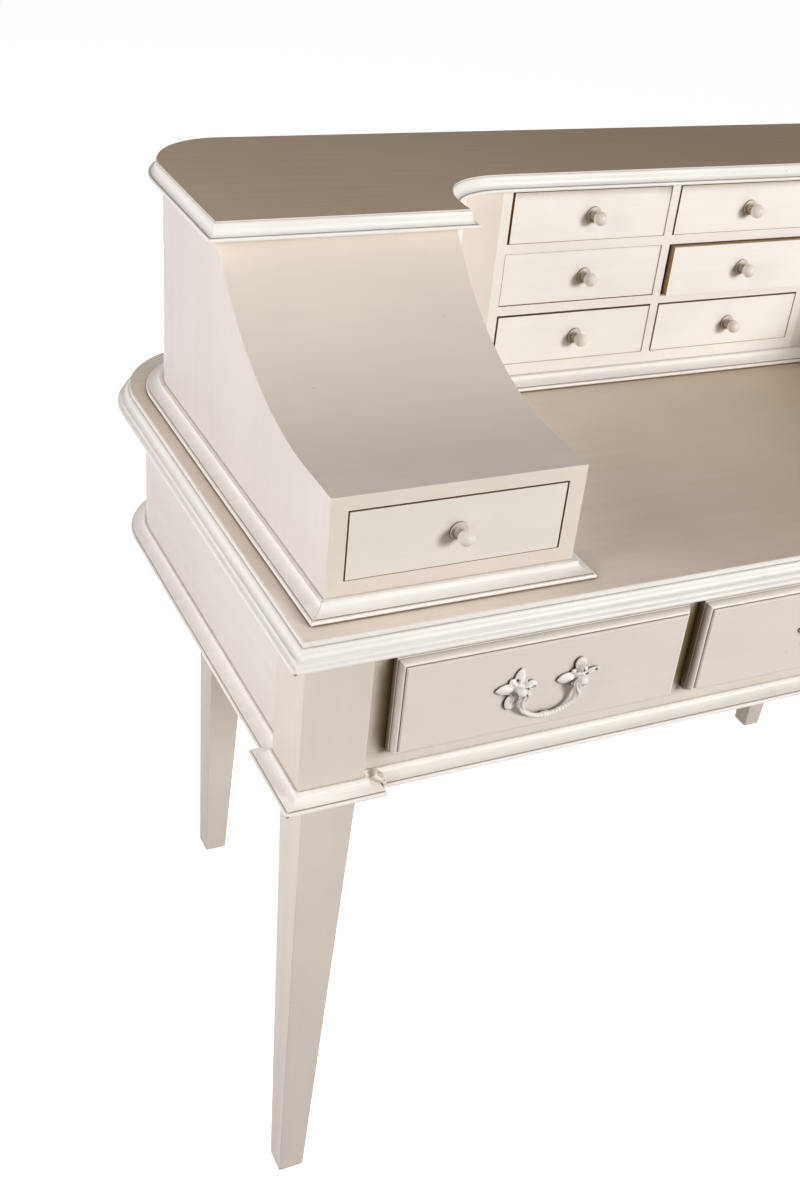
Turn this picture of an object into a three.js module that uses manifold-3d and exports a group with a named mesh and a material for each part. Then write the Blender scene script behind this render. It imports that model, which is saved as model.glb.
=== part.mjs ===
import * as THREE from "three";
import { mergeVertices } from "three/addons/utils/BufferGeometryUtils.js";
import Module from "manifold-3d";

const wasm = await Module();
wasm.setup();

// A painted writing desk: a table with three frieze drawers, and on it a U-shaped
// superstructure of two wings and a bank of six small drawers.
// All lengths are millimetres. X runs to the right, Y to the back, Z up from the floor.
// Y is zero at the front faces of the front leg posts until the last group moves it.

// Desk body
const deskWidth = 1220;
const deskDepth = 612;
const deskHeight = 760;
const deskTopThickness = 24;
const apronHeight = 160;
const apronThickness = 18;
const panelRecess = 11;
const rearCornerRadius = 115;
const cornerSteps = 8;

// Desk top edge, from its lower bead to its top arris
const topBeadReach = 19;
const topBeadHeight = 6;
const topBeadRound = 1.6;
const topGrooveReach = 14.4;
const topGrooveHeight = 1.4;
const topFilletReach = 15.6;
const topFilletHeight = 1.8;
const topArrisReach = 5;
const topArrisHeight = 1.4;

// Ogee of a moulded edge, round above and hollow below
const ogeeReachShare = 0.3;
const ogeeLevelShare = 0.5;
const ogeeTurnShares = [0, 0.35, 0.7, 1];

// Legs
const postWidth = 67;
const legOuterInset = 9.5;
const legInnerInset = 0.5;
const footWidth = 29.5;
const footOuterInset = 13.5;
const footBevel = 2.5;
const postEdge = 1.2;
const rearLegSideInset = 106;
const rearLegBackInset = 13.5;
const rearPostMargin = 0.5;
const rearPostCut = 9;

// Frieze frame
const friezeThickness = 20;
const friezeTopRailHeight = 26;
const friezeRailShow = 20;

// Frieze drawers
const frontMargin = 24;
const sideFrontWidth = 318;
const frontSpacing = 19;
const frontTopGap = 18;
const frontProud = 6;
const frontOverlap = 10;
const frontEdgeDepth = 7;
const frontEdgeWidth = 7.5;
const frontFieldRaise = 2.4;
const frontRoundShares = [0, 0.35, 0.7, 1];
const friezeTrayRearGap = 81;
const friezeTrayHeight = 78;
const friezeTrayWall = 12;
const friezeTrayFloor = 7;
const friezeTrayPlay = 1.5;

// Runner frame under the frieze drawers
const runnerWidth = 22;
const runnerHeight = 18;
const guideHeight = 22;
const crossRailDepth = 22;
const runnerInset = 1;

// Hollow of a strip moulding, from its bead to its ledge
const hollowShares = [1, 0.7, 0.4, 0];

// Lower moulding round the apron
const lowerMouldHeight = 14;
const lowerMouldReach = 18;
const lowerMouldFillet = 3;
const lowerMouldBead = 4.5;

// Superstructure
const wallSideInset = 28;
const wallBackInset = 42;
const wallThickness = 14;
const wallCornerRadius = 85;
const wingWidth = 252;
const wingFront = 34;
const wingHeight = 113;
const slopeFlatEnd = 90;
const sweepClimb = 120;
const sweepLap = 9;
const slopeThickness = 9;
const slopeSteps = 10;
const faceFrameThickness = 16;
const curveReach = 104;
const curveDepth = 100;
const curvePower = 2.5;
const curveSteps = 12;

// Superstructure top
const slabThickness = 17;
const slabArrisReach = 6;
const slabOgeeReach = 12.5;
const slabLowReach = 15;
const slabFillet = 1.2;
const slabBead = 3.6;
const slabLap = 10;

// Base moulding of the superstructure
const baseMouldHeight = 14;
const baseMouldReach = 19;
const baseMouldLedge = 5;
const baseMouldBead = 4.5;

// Wing drawers
const wingDrawerMargin = 17;
const wingDrawerBottom = 15;
const wingDrawerTop = 14;
const wingBoxLength = 314;
const wingTrayPlay = 1;
const wingFrontThickness = 14;
const wingFloorThickness = 7;
const wingFloorLength = 330;

// Bank of small drawers
const bankSideWidth = 12;
const bankDividerWidth = 11;
const bankRailHeight = 11;
const bankBottomRail = 28;
const bankTopRail = 2;
const bankRows = 3;
const bankColumns = 2;
const bankPlay = 1;
const bankDepth = 130;
const bankDrawerLength = 116;
const bankOpenAtRest = 8;

// Small drawer boxes
const smallFront = 12;
const smallWall = 7;
const smallFloor = 5;

// Turned knobs
const knobRadius = 7.8;
const knobReach = 22.5;
const knobNeckRadius = 3.8;
const knobFlangeRadius = 9;
const knobFlangeThickness = 2;
const knobFlareRadius = 6;
const knobRingRadius = 5;
const knobRingWidth = 2;
const knobSides = 16;
const knobBallSteps = 6;

// Bail pulls
const pullSpacing = 67;
const pullDrop = 38;
const bailLeanIn = 6.8;
const pullAboveCentre = 3;
const pivotReach = 11;
const postRadius = 2.4;
const postHeadRadius = 3.4;
const postHeadShares = [0, 0.25, 0.5, 0.75, 1];
const postSides = 12;
const leafThickness = 3;
const leafTipRadius = 20;
const leafValleyRadius = 9;
const leafLobes = 5;
const bailRadius = 2.3;
const bailSwell = 0.9;
const bailSides = 8;
const bailSteps = 26;
const bailShares = [
  [1, 0],
  [0.93, -0.05],
  [0.96, -0.2],
  [1.02, -0.42],
  [0.86, -0.72],
  [0.42, -0.95],
];

// Clearances
const seatGap = 0.3;
const sweepGap = 0.7;
const cutOverrun = 2;

// Levels and lines worked out from the sizes above
const halfWidth = deskWidth / 2;
const topUnderside = deskHeight - deskTopThickness;
const apronBottom = topUnderside - apronHeight;
const frontBottom = apronBottom + lowerMouldHeight + friezeRailShow;
const frontTop = topUnderside - frontTopGap;
const friezeFace = panelRecess;
const friezeBack = friezeFace + friezeThickness;
const openingBottom = frontBottom + frontOverlap;
const openingTop = topUnderside - friezeTopRailHeight;
const apronInnerBack = deskDepth - panelRecess - apronThickness;
const rearPostBack = apronInnerBack - seatGap;
const wallHalfWidth = halfWidth - wallSideInset;
const wallBack = deskDepth - wallBackInset;
const innerHalfWidth = wallHalfWidth - wingWidth;
const wingTop = deskHeight + wingHeight;
const slabUnderside = wingTop + sweepClimb;
const slabTopHeight = slabUnderside + slabThickness;
const faceFrameBack = wingFront + faceFrameThickness;
const bankHalfWidth = innerHalfWidth - curveReach;
const bankBackLine = wallBack - wallThickness;
const bankFront = bankBackLine - bankDepth;
const sweepBack = bankFront - curveDepth + sweepLap;
const sweepRun = sweepBack - slopeFlatEnd;
const slopeRadius = (sweepRun ** 2 + sweepClimb ** 2) / (2 * sweepClimb);
const slabFront = sweepBack - slabLap;

const paint = { color: "#ded6c9", roughness: 0.45, metalness: 0 };
const drawerPaint = { color: "#dcd3c5", roughness: 0.45, metalness: 0 };
const insideWood = { color: "#cdbd9d", roughness: 0.7, metalness: 0 };
const castPaint = { color: "#e2dbcf", roughness: 0.4, metalness: 0.1 };

// Geometry helpers

function capTriangles(ring) {
  const normal = new THREE.Vector3();
  ring.forEach((point, i) => {
    normal.add(new THREE.Vector3().crossVectors(point, ring[(i + 1) % ring.length]));
  });
  normal.normalize();
  const across = new THREE.Vector3().subVectors(ring[1], ring[0]).normalize();
  const up = new THREE.Vector3().crossVectors(normal, across);
  const flat = ring.map((point) => new THREE.Vector2(point.dot(across), point.dot(up)));
  const faces = THREE.ShapeUtils.triangulateShape(flat, []);
  return faces.map(([a, b, c]) => {
    const ab = new THREE.Vector2().subVectors(flat[b], flat[a]);
    const ac = new THREE.Vector2().subVectors(flat[c], flat[a]);
    return ab.cross(ac) > 0 ? [a, b, c] : [a, c, b];
  });
}

function signedVolume(points, faces) {
  return faces.reduce((sum, [a, b, c]) => {
    const cross = new THREE.Vector3().crossVectors(points[b], points[c]);
    return sum + points[a].dot(cross);
  }, 0);
}

// Joins closed rings of points, in order, into one closed skin. A loop joins its
// last ring to its first; otherwise both ends get a flat cap.
function skin(rings, loop = false) {
  const size = rings[0].length;
  const points = rings.flat();
  const faces = [];
  const spans = loop ? rings.length : rings.length - 1;
  for (let k = 0; k < spans; k++) {
    const here = k * size;
    const next = ((k + 1) % rings.length) * size;
    for (let j = 0; j < size; j++) {
      const side = (j + 1) % size;
      faces.push([here + j, here + side, next + side]);
      faces.push([here + j, next + side, next + j]);
    }
  }
  if (!loop) {
    const last = (rings.length - 1) * size;
    capTriangles(rings[0]).forEach(([a, b, c]) => faces.push([a, c, b]));
    capTriangles(rings[rings.length - 1]).forEach(([a, b, c]) => {
      faces.push([last + a, last + b, last + c]);
    });
  }
  const outward = signedVolume(points, faces) > 0;
  const order = faces.flatMap(([a, b, c]) => (outward ? [a, b, c] : [a, c, b]));
  const geometry = new THREE.BufferGeometry().setFromPoints(points);
  geometry.setIndex(order);
  return faceted(geometry);
}

function faceted(geometry) {
  const flat = geometry.index ? geometry.toNonIndexed() : geometry;
  flat.computeVertexNormals();
  return flat;
}

// A box between two corners
function block(x0, x1, y0, y1, z0, z1) {
  const box = new THREE.BoxGeometry(x1 - x0, y1 - y0, z1 - z0);
  return box.translate((x0 + x1) / 2, (y0 + y1) / 2, (z0 + z1) / 2);
}

// A flat board whose edge follows a profile of [reach, level] pairs
function board(outlineAt, profile) {
  return skin(profile.map(([reach, level]) => {
    return outlineAt(reach).map(([x, y]) => new THREE.Vector3(x, y, level));
  }));
}

// A strip that carries a closed profile of [reach, level] pairs along a plan line.
// A level may be a function of the depth Y.
function strip(lineAt, profile) {
  const edges = profile.map(([reach, level]) => lineAt(reach).map(([x, y]) => {
    const z = typeof level === "function" ? level(y) : level;
    return new THREE.Vector3(x, y, z);
  }));
  return skin(edges[0].map((unused, i) => edges.map((edge) => edge[i])));
}

// The same outline of [x, z] pairs at two depths
function plate(outline, y0, y1) {
  return skin([y0, y1].map((y) => outline.map(([x, z]) => new THREE.Vector3(x, y, z))));
}

// A flat plate in the XZ plane with rectangular openings
function openPlate(outline, openings, y0, y1) {
  const slabOf = ({ x0, x1, z0, z1 }, over) => block(x0, x1, y0 - over, y1 + over, z0, z1);
  const holes = openings.map((opening) => toSolid(slabOf(opening, cutOverrun)));
  return fromSolid(holes.reduce((left, hole) => left.subtract(hole), toSolid(slabOf(outline, 0))));
}

// An open-topped box with its front at Y zero and its underside at Z zero
function pocketBox(width, length, height, walls) {
  const ring = (side, front, back, level) => [
    new THREE.Vector3(side - width / 2, front, level),
    new THREE.Vector3(width / 2 - side, front, level),
    new THREE.Vector3(width / 2 - side, length - back, level),
    new THREE.Vector3(side - width / 2, length - back, level),
  ];
  return skin([
    ring(0, 0, 0, 0),
    ring(0, 0, 0, height),
    ring(walls.side, walls.front, walls.back, height),
    ring(walls.side, walls.front, walls.back, walls.floor),
  ]);
}

function mirrored(geometry) {
  const copy = geometry.clone().scale(-1, 1, 1);
  const place = copy.getAttribute("position");
  for (let i = 0; i < place.count; i += 3) {
    const second = new THREE.Vector3().fromBufferAttribute(place, i + 1);
    const third = new THREE.Vector3().fromBufferAttribute(place, i + 2);
    place.setXYZ(i + 1, third.x, third.y, third.z);
    place.setXYZ(i + 2, second.x, second.y, second.z);
  }
  copy.computeVertexNormals();
  return copy;
}

function toSolid(geometry) {
  const bare = geometry.clone();
  bare.deleteAttribute("normal");
  bare.deleteAttribute("uv");
  const merged = mergeVertices(bare);
  return new wasm.Manifold(new wasm.Mesh({
    numProp: 3,
    vertProperties: merged.getAttribute("position").array,
    triVerts: Uint32Array.from(merged.index.array),
  }));
}

function fromSolid(solid) {
  const mesh = solid.getMesh();
  const geometry = new THREE.BufferGeometry();
  geometry.setAttribute("position", new THREE.BufferAttribute(mesh.vertProperties, 3));
  geometry.setIndex(new THREE.BufferAttribute(mesh.triVerts, 1));
  return faceted(geometry);
}

function joined(geometries) {
  return fromSolid(geometries.map(toSolid).reduce((sum, next) => sum.add(next)));
}

function arc(cx, cy, radius, from, to, steps) {
  return Array.from({ length: steps + 1 }, (unused, i) => {
    const angle = from + ((to - from) * i) / steps;
    return [cx + radius * Math.cos(angle), cy + radius * Math.sin(angle)];
  });
}

const flipX = (points) => points.map(([x, y]) => [-x, y]).reverse();

// Plan lines, each grown outwards by reach

function rearCorner(halfSpan, backLine, radius, reach) {
  return arc(halfSpan - radius, backLine - radius, radius + reach, 0, Math.PI / 2, cornerSteps);
}

function deskOutline(reach) {
  const right = [[halfWidth + reach, -reach]];
  right.push(...rearCorner(halfWidth, deskDepth, rearCornerRadius, reach));
  return [...right, ...flipX(right)];
}

// From the back edge of a wing's inner side to the flat front of the bank
function nicheCurve(reach) {
  return Array.from({ length: curveSteps + 1 }, (unused, i) => {
    const angle = (Math.PI / 2) * (i / curveSteps);
    const across = Math.cos(angle) ** (2 / curvePower);
    const deep = Math.sin(angle) ** (2 / curvePower);
    const normal = new THREE.Vector2(
      across ** (curvePower - 1) / curveReach,
      -(deep ** (curvePower - 1)) / curveDepth,
    ).normalize();
    const x = -innerHalfWidth + curveReach * (1 - across) + reach * normal.x;
    const y = bankFront - curveDepth + curveDepth * deep + reach * normal.y;
    return [x, y];
  });
}

function superInnerLine(front, reach) {
  const left = [[-innerHalfWidth + reach, front - reach], ...nicheCurve(reach)];
  return [...left, ...flipX(left)];
}

function superOuterLine(front, reach) {
  const right = [[wallHalfWidth + reach, front - reach]];
  right.push(...rearCorner(wallHalfWidth, wallBack, wallCornerRadius, reach));
  return [...right, ...flipX(right)];
}

function superOutline(front, reach) {
  return [...superInnerLine(front, reach), ...superOuterLine(front, reach)];
}

// From a wide lower edge to a narrow upper one, both [reach, level]
function ogee([low, bottom], [high, top]) {
  const middle = high + (low - high) * ogeeReachShare;
  const waist = bottom + (top - bottom) * ogeeLevelShare;
  const turns = ogeeTurnShares.map((share) => share * Math.PI / 2);
  const hollow = turns.map((turn) => {
    return [low - (low - middle) * Math.sin(turn), waist - (waist - bottom) * Math.cos(turn)];
  });
  const round = turns.slice(1).map((turn) => {
    return [high + (middle - high) * Math.cos(turn), waist + (top - waist) * Math.sin(turn)];
  });
  return [...hollow, ...round];
}

// Section of a strip moulding: a bead below, a hollow, and a ledge on top
function mouldSection(level, height, reach, ledge, bead) {
  const top = level + height;
  const beadTop = level + bead;
  const edge = bead / 3;
  const neck = beadTop + edge;
  const lip = top - bead / 2;
  const run = reach - bead / 2 - ledge;
  const hollow = (share) => {
    const turn = share * Math.PI / 2;
    return [ledge + run * (1 - Math.cos(turn)), lip - (lip - neck) * Math.sin(turn)];
  };
  return [
    [seatGap, level],
    [reach - edge, level],
    [reach, level + edge],
    [reach, beadTop - edge],
    [reach - edge, beadTop],
    ...hollowShares.map(hollow),
    [ledge, top],
    [seatGap, top],
  ];
}

// The hollow sweep of a wing's top, lowered by depth
function sweepRise(y, depth) {
  const level = wingTop - depth;
  if (y <= slopeFlatEnd) return level;
  const radius = slopeRadius + depth;
  const across = Math.min(y - slopeFlatEnd, radius);
  return level + radius - Math.sqrt(radius ** 2 - across ** 2);
}

function sweepEnd(depth, level) {
  const radius = slopeRadius + depth;
  const below = wingTop + slopeRadius - level;
  return slopeFlatEnd + Math.sqrt(radius ** 2 - below ** 2);
}

function sweepDepths(depth, level) {
  const end = sweepEnd(depth, level);
  return Array.from({ length: slopeSteps + 1 }, (unused, i) => {
    return slopeFlatEnd + ((end - slopeFlatEnd) * i) / slopeSteps;
  });
}

const model = new THREE.Group();

function addPiece(parent, name, geometry, finish, place = [0, 0, 0]) {
  const mesh = new THREE.Mesh(geometry, new THREE.MeshStandardMaterial(finish));
  mesh.name = name;
  mesh.position.set(...place);
  parent.add(mesh);
}

function addPair(name, leftGeometry, finish) {
  addPiece(model, `${name}_left`, leftGeometry, finish);
  addPiece(model, `${name}_right`, mirrored(leftGeometry), finish);
}

// Desk top
function deskTop() {
  const bead = topUnderside + topBeadHeight;
  const groove = bead + topGrooveHeight;
  const fillet = groove + topFilletHeight;
  const arris = deskHeight - topArrisHeight;
  return board(deskOutline, [
    [topBeadReach - topBeadRound, topUnderside],
    [topBeadReach, topUnderside + topBeadRound],
    [topBeadReach, bead - topBeadRound],
    [topBeadReach - topBeadRound, bead],
    [topGrooveReach, bead],
    [topGrooveReach, groove],
    [topFilletReach, groove],
    ...ogee([topFilletReach, fillet], [topArrisReach, arris]),
    [topArrisReach, deskHeight],
  ]);
}
addPiece(model, "desk_top", deskTop(), paint);

// Legs: a post that carries the aprons, and a leg that tapers on its inner sides
const legHigh = postWidth - legInnerInset;
const footHigh = footOuterInset + footWidth;
function leg(x, y, post) {
  const ring = (level, [low, high], [near, far], outerCut) => [
    [low + outerCut, near],
    [high - postEdge, near],
    [high, near + postEdge],
    [high, far - postEdge],
    [high - postEdge, far],
    [low + postEdge, far],
    [low, far - postEdge],
    [low, near + outerCut],
  ].map(([across, deep]) => new THREE.Vector3(x(across), y(deep), level));
  const square = (level, low, high) => ring(level, [low, high], [low, high], postEdge);
  return skin([
    ring(topUnderside, post.across, post.deep, post.cut),
    ring(post.level, post.across, post.deep, post.cut),
    square(post.level, legOuterInset, legHigh),
    square(footBevel, footOuterInset, footHigh),
    square(0, footOuterInset + footBevel, footHigh - footBevel),
  ]);
}
const frontLeg = leg((across) => across - halfWidth, (deep) => deep, {
  across: [0, postWidth],
  deep: [0, postWidth],
  cut: postEdge,
  level: apronBottom,
});

// A rear post stands inside the back apron, and its wider leg reaches under the apron
const rearLegX = rearLegSideInset - legOuterInset - halfWidth;
const rearLegY = deskDepth - rearLegBackInset + legOuterInset;
const rearPostHigh = legHigh - rearPostMargin;
const rearLeg = leg((across) => across + rearLegX, (deep) => rearLegY - deep, {
  across: [legOuterInset + rearPostMargin, rearPostHigh],
  deep: [rearLegY - rearPostBack, rearPostHigh],
  cut: rearPostCut,
  level: apronBottom - seatGap,
});
addPair("front_leg", frontLeg, paint);
addPair("rear_leg", rearLeg, paint);

// Aprons: a side with its bent rear corner, and the back
function sideApronLine(reach) {
  const corner = rearCorner(halfWidth, deskDepth, rearCornerRadius, reach);
  return [[halfWidth + reach, postWidth], ...corner].map(([x, y]) => [-x, y]);
}
const apronFace = -panelRecess;
const apronInside = apronFace - apronThickness;
const apronSection = [
  [apronFace, apronBottom],
  [apronInside, apronBottom],
  [apronInside, topUnderside],
  [apronFace, topUnderside],
];
addPair("side_apron", strip(sideApronLine, apronSection), paint);
const backApronEnd = halfWidth - rearCornerRadius;
const backFace = deskDepth - panelRecess;
addPiece(model, "back_apron", block(
  -backApronEnd, backApronEnd, apronInnerBack, backFace, apronBottom, topUnderside,
), paint);

// Frieze frame, with one opening for each drawer
const friezeEnd = halfWidth - postWidth;
const frontEdges = [-friezeEnd + frontMargin, -friezeEnd + frontMargin + sideFrontWidth];
const middleEdge = -(frontEdges[1] + frontSpacing);
const friezeFronts = {
  left: { centre: (frontEdges[0] + frontEdges[1]) / 2, width: sideFrontWidth },
  middle: { centre: 0, width: 2 * middleEdge },
  right: { centre: -(frontEdges[0] + frontEdges[1]) / 2, width: sideFrontWidth },
};
const firstOpening = [frontEdges[0] + frontOverlap, frontEdges[1] - frontOverlap];
const middleOpening = middleEdge - frontOverlap;
const friezeOpening = (x0, x1) => ({ x0, x1, z0: openingBottom, z1: openingTop });
addPiece(model, "frieze_frame", openPlate(
  { x0: -friezeEnd, x1: friezeEnd, z0: apronBottom, z1: topUnderside },
  [
    friezeOpening(...firstOpening),
    friezeOpening(-middleOpening, middleOpening),
    friezeOpening(-firstOpening[1], -firstOpening[0]),
  ],
  friezeFace,
  friezeBack,
), paint);

// Runner frame: six L-shaped runners joined by a rail in front of the rear legs
const rearPostFront = rearLegY - rearPostHigh;
const crossRailBack = rearPostFront - seatGap;
const runnerTop = openingBottom + friezeTrayPlay - seatGap;
function runner(edge, side) {
  const guide = edge + side * (friezeTrayPlay - runnerInset);
  const outline = [
    [guide - side * (runnerWidth / 2), runnerTop - runnerHeight],
    [guide + side * (runnerWidth / 2), runnerTop - runnerHeight],
    [guide + side * (runnerWidth / 2), runnerTop],
    [guide, runnerTop],
    [guide, runnerTop + guideHeight],
    [guide - side * (runnerWidth / 2), runnerTop + guideHeight],
  ];
  return plate(outline, friezeBack, crossRailBack);
}
const openingEdges = [
  [firstOpening[0], 1],
  [firstOpening[1], -1],
  [-middleOpening, 1],
  [middleOpening, -1],
  [-firstOpening[1], 1],
  [-firstOpening[0], -1],
];
const crossRailEnd = -firstOpening[0] - runnerInset;
const crossRail = block(
  -crossRailEnd, crossRailEnd, crossRailBack - crossRailDepth, crossRailBack - runnerInset,
  runnerTop - runnerHeight + runnerInset, runnerTop - runnerInset,
);
addPiece(model, "drawer_runner_frame", joined([
  ...openingEdges.map(([edge, side]) => runner(edge, side)),
  crossRail,
]), insideWood);

// Lower moulding: front strip, a return round each front post, and a strip round the back
const lowerSection = mouldSection(
  apronBottom, lowerMouldHeight, lowerMouldReach, lowerMouldFillet, lowerMouldBead,
);
function frontMouldLine(reach) {
  const end = friezeEnd - reach - seatGap;
  return [[-end, panelRecess - reach], [end, panelRecess - reach]];
}
function postMouldLine(reach) {
  const inner = -friezeEnd + reach;
  const outer = -halfWidth - reach;
  return [
    [inner, panelRecess - reach],
    [inner, -reach],
    [outer, -reach],
    [outer, postWidth + reach],
    [outer + panelRecess, postWidth + reach],
  ];
}
function rearMouldLine(reach) {
  const out = reach - panelRecess;
  const right = [[halfWidth + out, postWidth + reach + seatGap]];
  right.push(...rearCorner(halfWidth, deskDepth, rearCornerRadius, out));
  return [...right, ...flipX(right)];
}
addPiece(model, "front_lower_moulding", strip(frontMouldLine, lowerSection), paint);
addPair("post_lower_moulding", strip(postMouldLine, lowerSection), paint);
addPiece(model, "rear_lower_moulding", strip(rearMouldLine, lowerSection), paint);

// Superstructure top
function slab() {
  const bead = slabUnderside + slabBead;
  const arris = slabTopHeight - slabFillet;
  return board((reach) => superOutline(slabFront, reach), [
    [slabLowReach - slabFillet / 2, slabUnderside],
    [slabLowReach, slabUnderside + slabFillet / 2],
    [slabLowReach, bead - slabFillet / 2],
    [slabLowReach - slabFillet / 2, bead],
    ...ogee([slabOgeeReach, bead], [slabArrisReach, arris]),
    [slabArrisReach, slabTopHeight],
  ]);
}
addPiece(model, "superstructure_top", slab(), paint);

// Walls of the superstructure, cut away under the sweep
const wallCut = slopeThickness + sweepGap;
const wallTop = (y) => Math.min(sweepRise(y, wallCut), slabUnderside);
const wallSection = [
  [0, deskHeight],
  [-wallThickness, deskHeight],
  [-wallThickness, wallTop],
  [0, wallTop],
];
const wallDepths = [faceFrameBack, ...sweepDepths(wallCut, slabUnderside)];
function outerWallLine(reach) {
  const straight = wallDepths.map((y) => [wallHalfWidth + reach, y]);
  const corner = rearCorner(wallHalfWidth, wallBack, wallCornerRadius, reach);
  return [...straight, ...corner].map(([x, y]) => [-x, y]);
}
function innerWallLine(reach) {
  const ahead = wallDepths.filter((y) => y < bankFront - curveDepth);
  return [...ahead.map((y) => [-innerHalfWidth + reach, y]), ...nicheCurve(reach)];
}
addPair("outer_wall", strip(outerWallLine, wallSection), paint);
addPair("inner_wall", strip(innerWallLine, wallSection), paint);
const backWallEnd = wallHalfWidth - wallCornerRadius;
addPiece(model, "superstructure_back", block(
  -backWallEnd, backWallEnd, bankBackLine, wallBack, deskHeight, slabUnderside,
), paint);

// Swept top of each wing
function wingSweep() {
  const end = slabUnderside - seatGap;
  const upper = sweepDepths(0, end).map((y) => [y, sweepRise(y, 0)]);
  const lower = sweepDepths(slopeThickness, end).map((y) => [y, sweepRise(y, slopeThickness)]);
  const outline = [
    [faceFrameBack, wingTop],
    ...upper,
    ...lower.reverse(),
    [faceFrameBack, wingTop - slopeThickness],
  ];
  return skin([-wallHalfWidth, -innerHalfWidth].map((x) => {
    return outline.map(([y, z]) => new THREE.Vector3(x, y, z));
  }));
}
addPair("wing_sweep", wingSweep(), paint);

// Face frame and drawer floor of each wing
const wingOpening = {
  x0: -wallHalfWidth + wingDrawerMargin,
  x1: -innerHalfWidth - wingDrawerMargin,
  z0: deskHeight + baseMouldHeight + wingDrawerBottom,
  z1: wingTop - wingDrawerTop,
};
const wingCentre = -(wallHalfWidth + innerHalfWidth) / 2;
addPair("wing_face_frame", openPlate(
  { x0: -wallHalfWidth, x1: -innerHalfWidth, z0: deskHeight, z1: wingTop },
  [wingOpening],
  wingFront,
  faceFrameBack,
), paint);
const wingFloorTop = wingOpening.z0 + wingTrayPlay - seatGap;
const wingFloor = block(
  -wallHalfWidth + wallThickness, -innerHalfWidth - wallThickness,
  faceFrameBack, faceFrameBack + wingFloorLength,
  wingFloorTop - wingFloorThickness, wingFloorTop,
);
addPair("wing_drawer_floor", faceted(wingFloor), insideWood);

// Frame of the bank: sides, one divider and a rail under each row
const bankWidth = 2 * bankHalfWidth;
const cellWidth = (bankWidth - 2 * bankSideWidth - (bankColumns - 1) * bankDividerWidth) / bankColumns;
const bankInnerHeight = slabUnderside - bankTopRail - deskHeight - bankBottomRail;
const cellHeight = (bankInnerHeight - (bankRows - 1) * bankRailHeight) / bankRows;
function bankCell(row, column) {
  const x0 = -bankHalfWidth + bankSideWidth + column * (cellWidth + bankDividerWidth);
  const z0 = deskHeight + bankBottomRail + row * (cellHeight + bankRailHeight);
  return { x0, x1: x0 + cellWidth, z0, z1: z0 + cellHeight };
}
const bankCells = [];
for (let row = 0; row < bankRows; row++) {
  for (let column = 0; column < bankColumns; column++) {
    bankCells.push(bankCell(row, column));
  }
}
addPiece(model, "bank_frame", openPlate(
  { x0: -bankHalfWidth, x1: bankHalfWidth, z0: deskHeight, z1: slabUnderside },
  bankCells,
  bankFront,
  bankBackLine,
), paint);

// Base moulding of the superstructure: outside, and along the fronts and the niche
const baseSection = mouldSection(
  deskHeight, baseMouldHeight, baseMouldReach, baseMouldLedge, baseMouldBead,
);
addPiece(model, "base_moulding_outer", strip(
  (reach) => superOuterLine(wingFront, reach), baseSection,
), paint);
function innerMouldLine(reach) {
  const corner = [-wallHalfWidth - reach + seatGap, wingFront - reach];
  const line = superInnerLine(wingFront, reach);
  return [corner, ...line, [-corner[0], corner[1]]];
}
addPiece(model, "base_moulding_inner", strip(innerMouldLine, baseSection), paint);

// Turned knob: a flange on Y zero, a flared neck with a ring, and a ball towards the front
function knob() {
  const centre = knobReach - knobRadius;
  const neckEnd = centre - Math.sqrt(knobRadius ** 2 - knobNeckRadius ** 2);
  const start = Math.asin(knobNeckRadius / knobRadius);
  const ball = Array.from({ length: knobBallSteps + 1 }, (unused, i) => {
    const angle = start + ((Math.PI - start) * i) / knobBallSteps;
    return new THREE.Vector2(knobRadius * Math.sin(angle), centre - knobRadius * Math.cos(angle));
  });
  ball[knobBallSteps].x = 0;
  const profile = [
    new THREE.Vector2(0, 0),
    new THREE.Vector2(knobFlangeRadius, 0),
    new THREE.Vector2(knobFlangeRadius, knobFlangeThickness),
    new THREE.Vector2(knobFlareRadius, knobFlangeThickness),
    new THREE.Vector2(knobNeckRadius, neckEnd - knobRingWidth),
    new THREE.Vector2(knobRingRadius, neckEnd - knobRingWidth / 2),
    ...ball,
  ];
  return new THREE.LatheGeometry(profile, knobSides).rotateX(Math.PI);
}

// One leaf plate with its post, the post's axis along Y
function pullPost(side) {
  const tips = Array.from({ length: 2 * leafLobes }, (unused, i) => {
    const angle = (Math.PI * i) / leafLobes;
    const radius = i % 2 ? leafValleyRadius : leafTipRadius;
    return new THREE.Vector2(side * radius * Math.cos(angle), radius * Math.sin(angle));
  });
  const leaf = new THREE.ExtrudeGeometry(new THREE.Shape(side > 0 ? tips : tips.reverse()), {
    depth: leafThickness,
    bevelEnabled: false,
  }).rotateX(Math.PI / 2);
  const start = Math.asin(postRadius / postHeadRadius);
  const head = postHeadShares.map((share) => {
    const angle = start + (Math.PI - start) * share;
    const radius = share === 1 ? 0 : postHeadRadius * Math.sin(angle);
    return new THREE.Vector2(radius, pivotReach - postHeadRadius * Math.cos(angle));
  });
  const post = new THREE.LatheGeometry([
    new THREE.Vector2(0, leafThickness / 2),
    new THREE.Vector2(postRadius, leafThickness / 2),
    ...head,
  ], postSides).rotateX(Math.PI);
  return joined([leaf, post]).translate(side * pullSpacing / 2, 0, 0);
}

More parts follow.
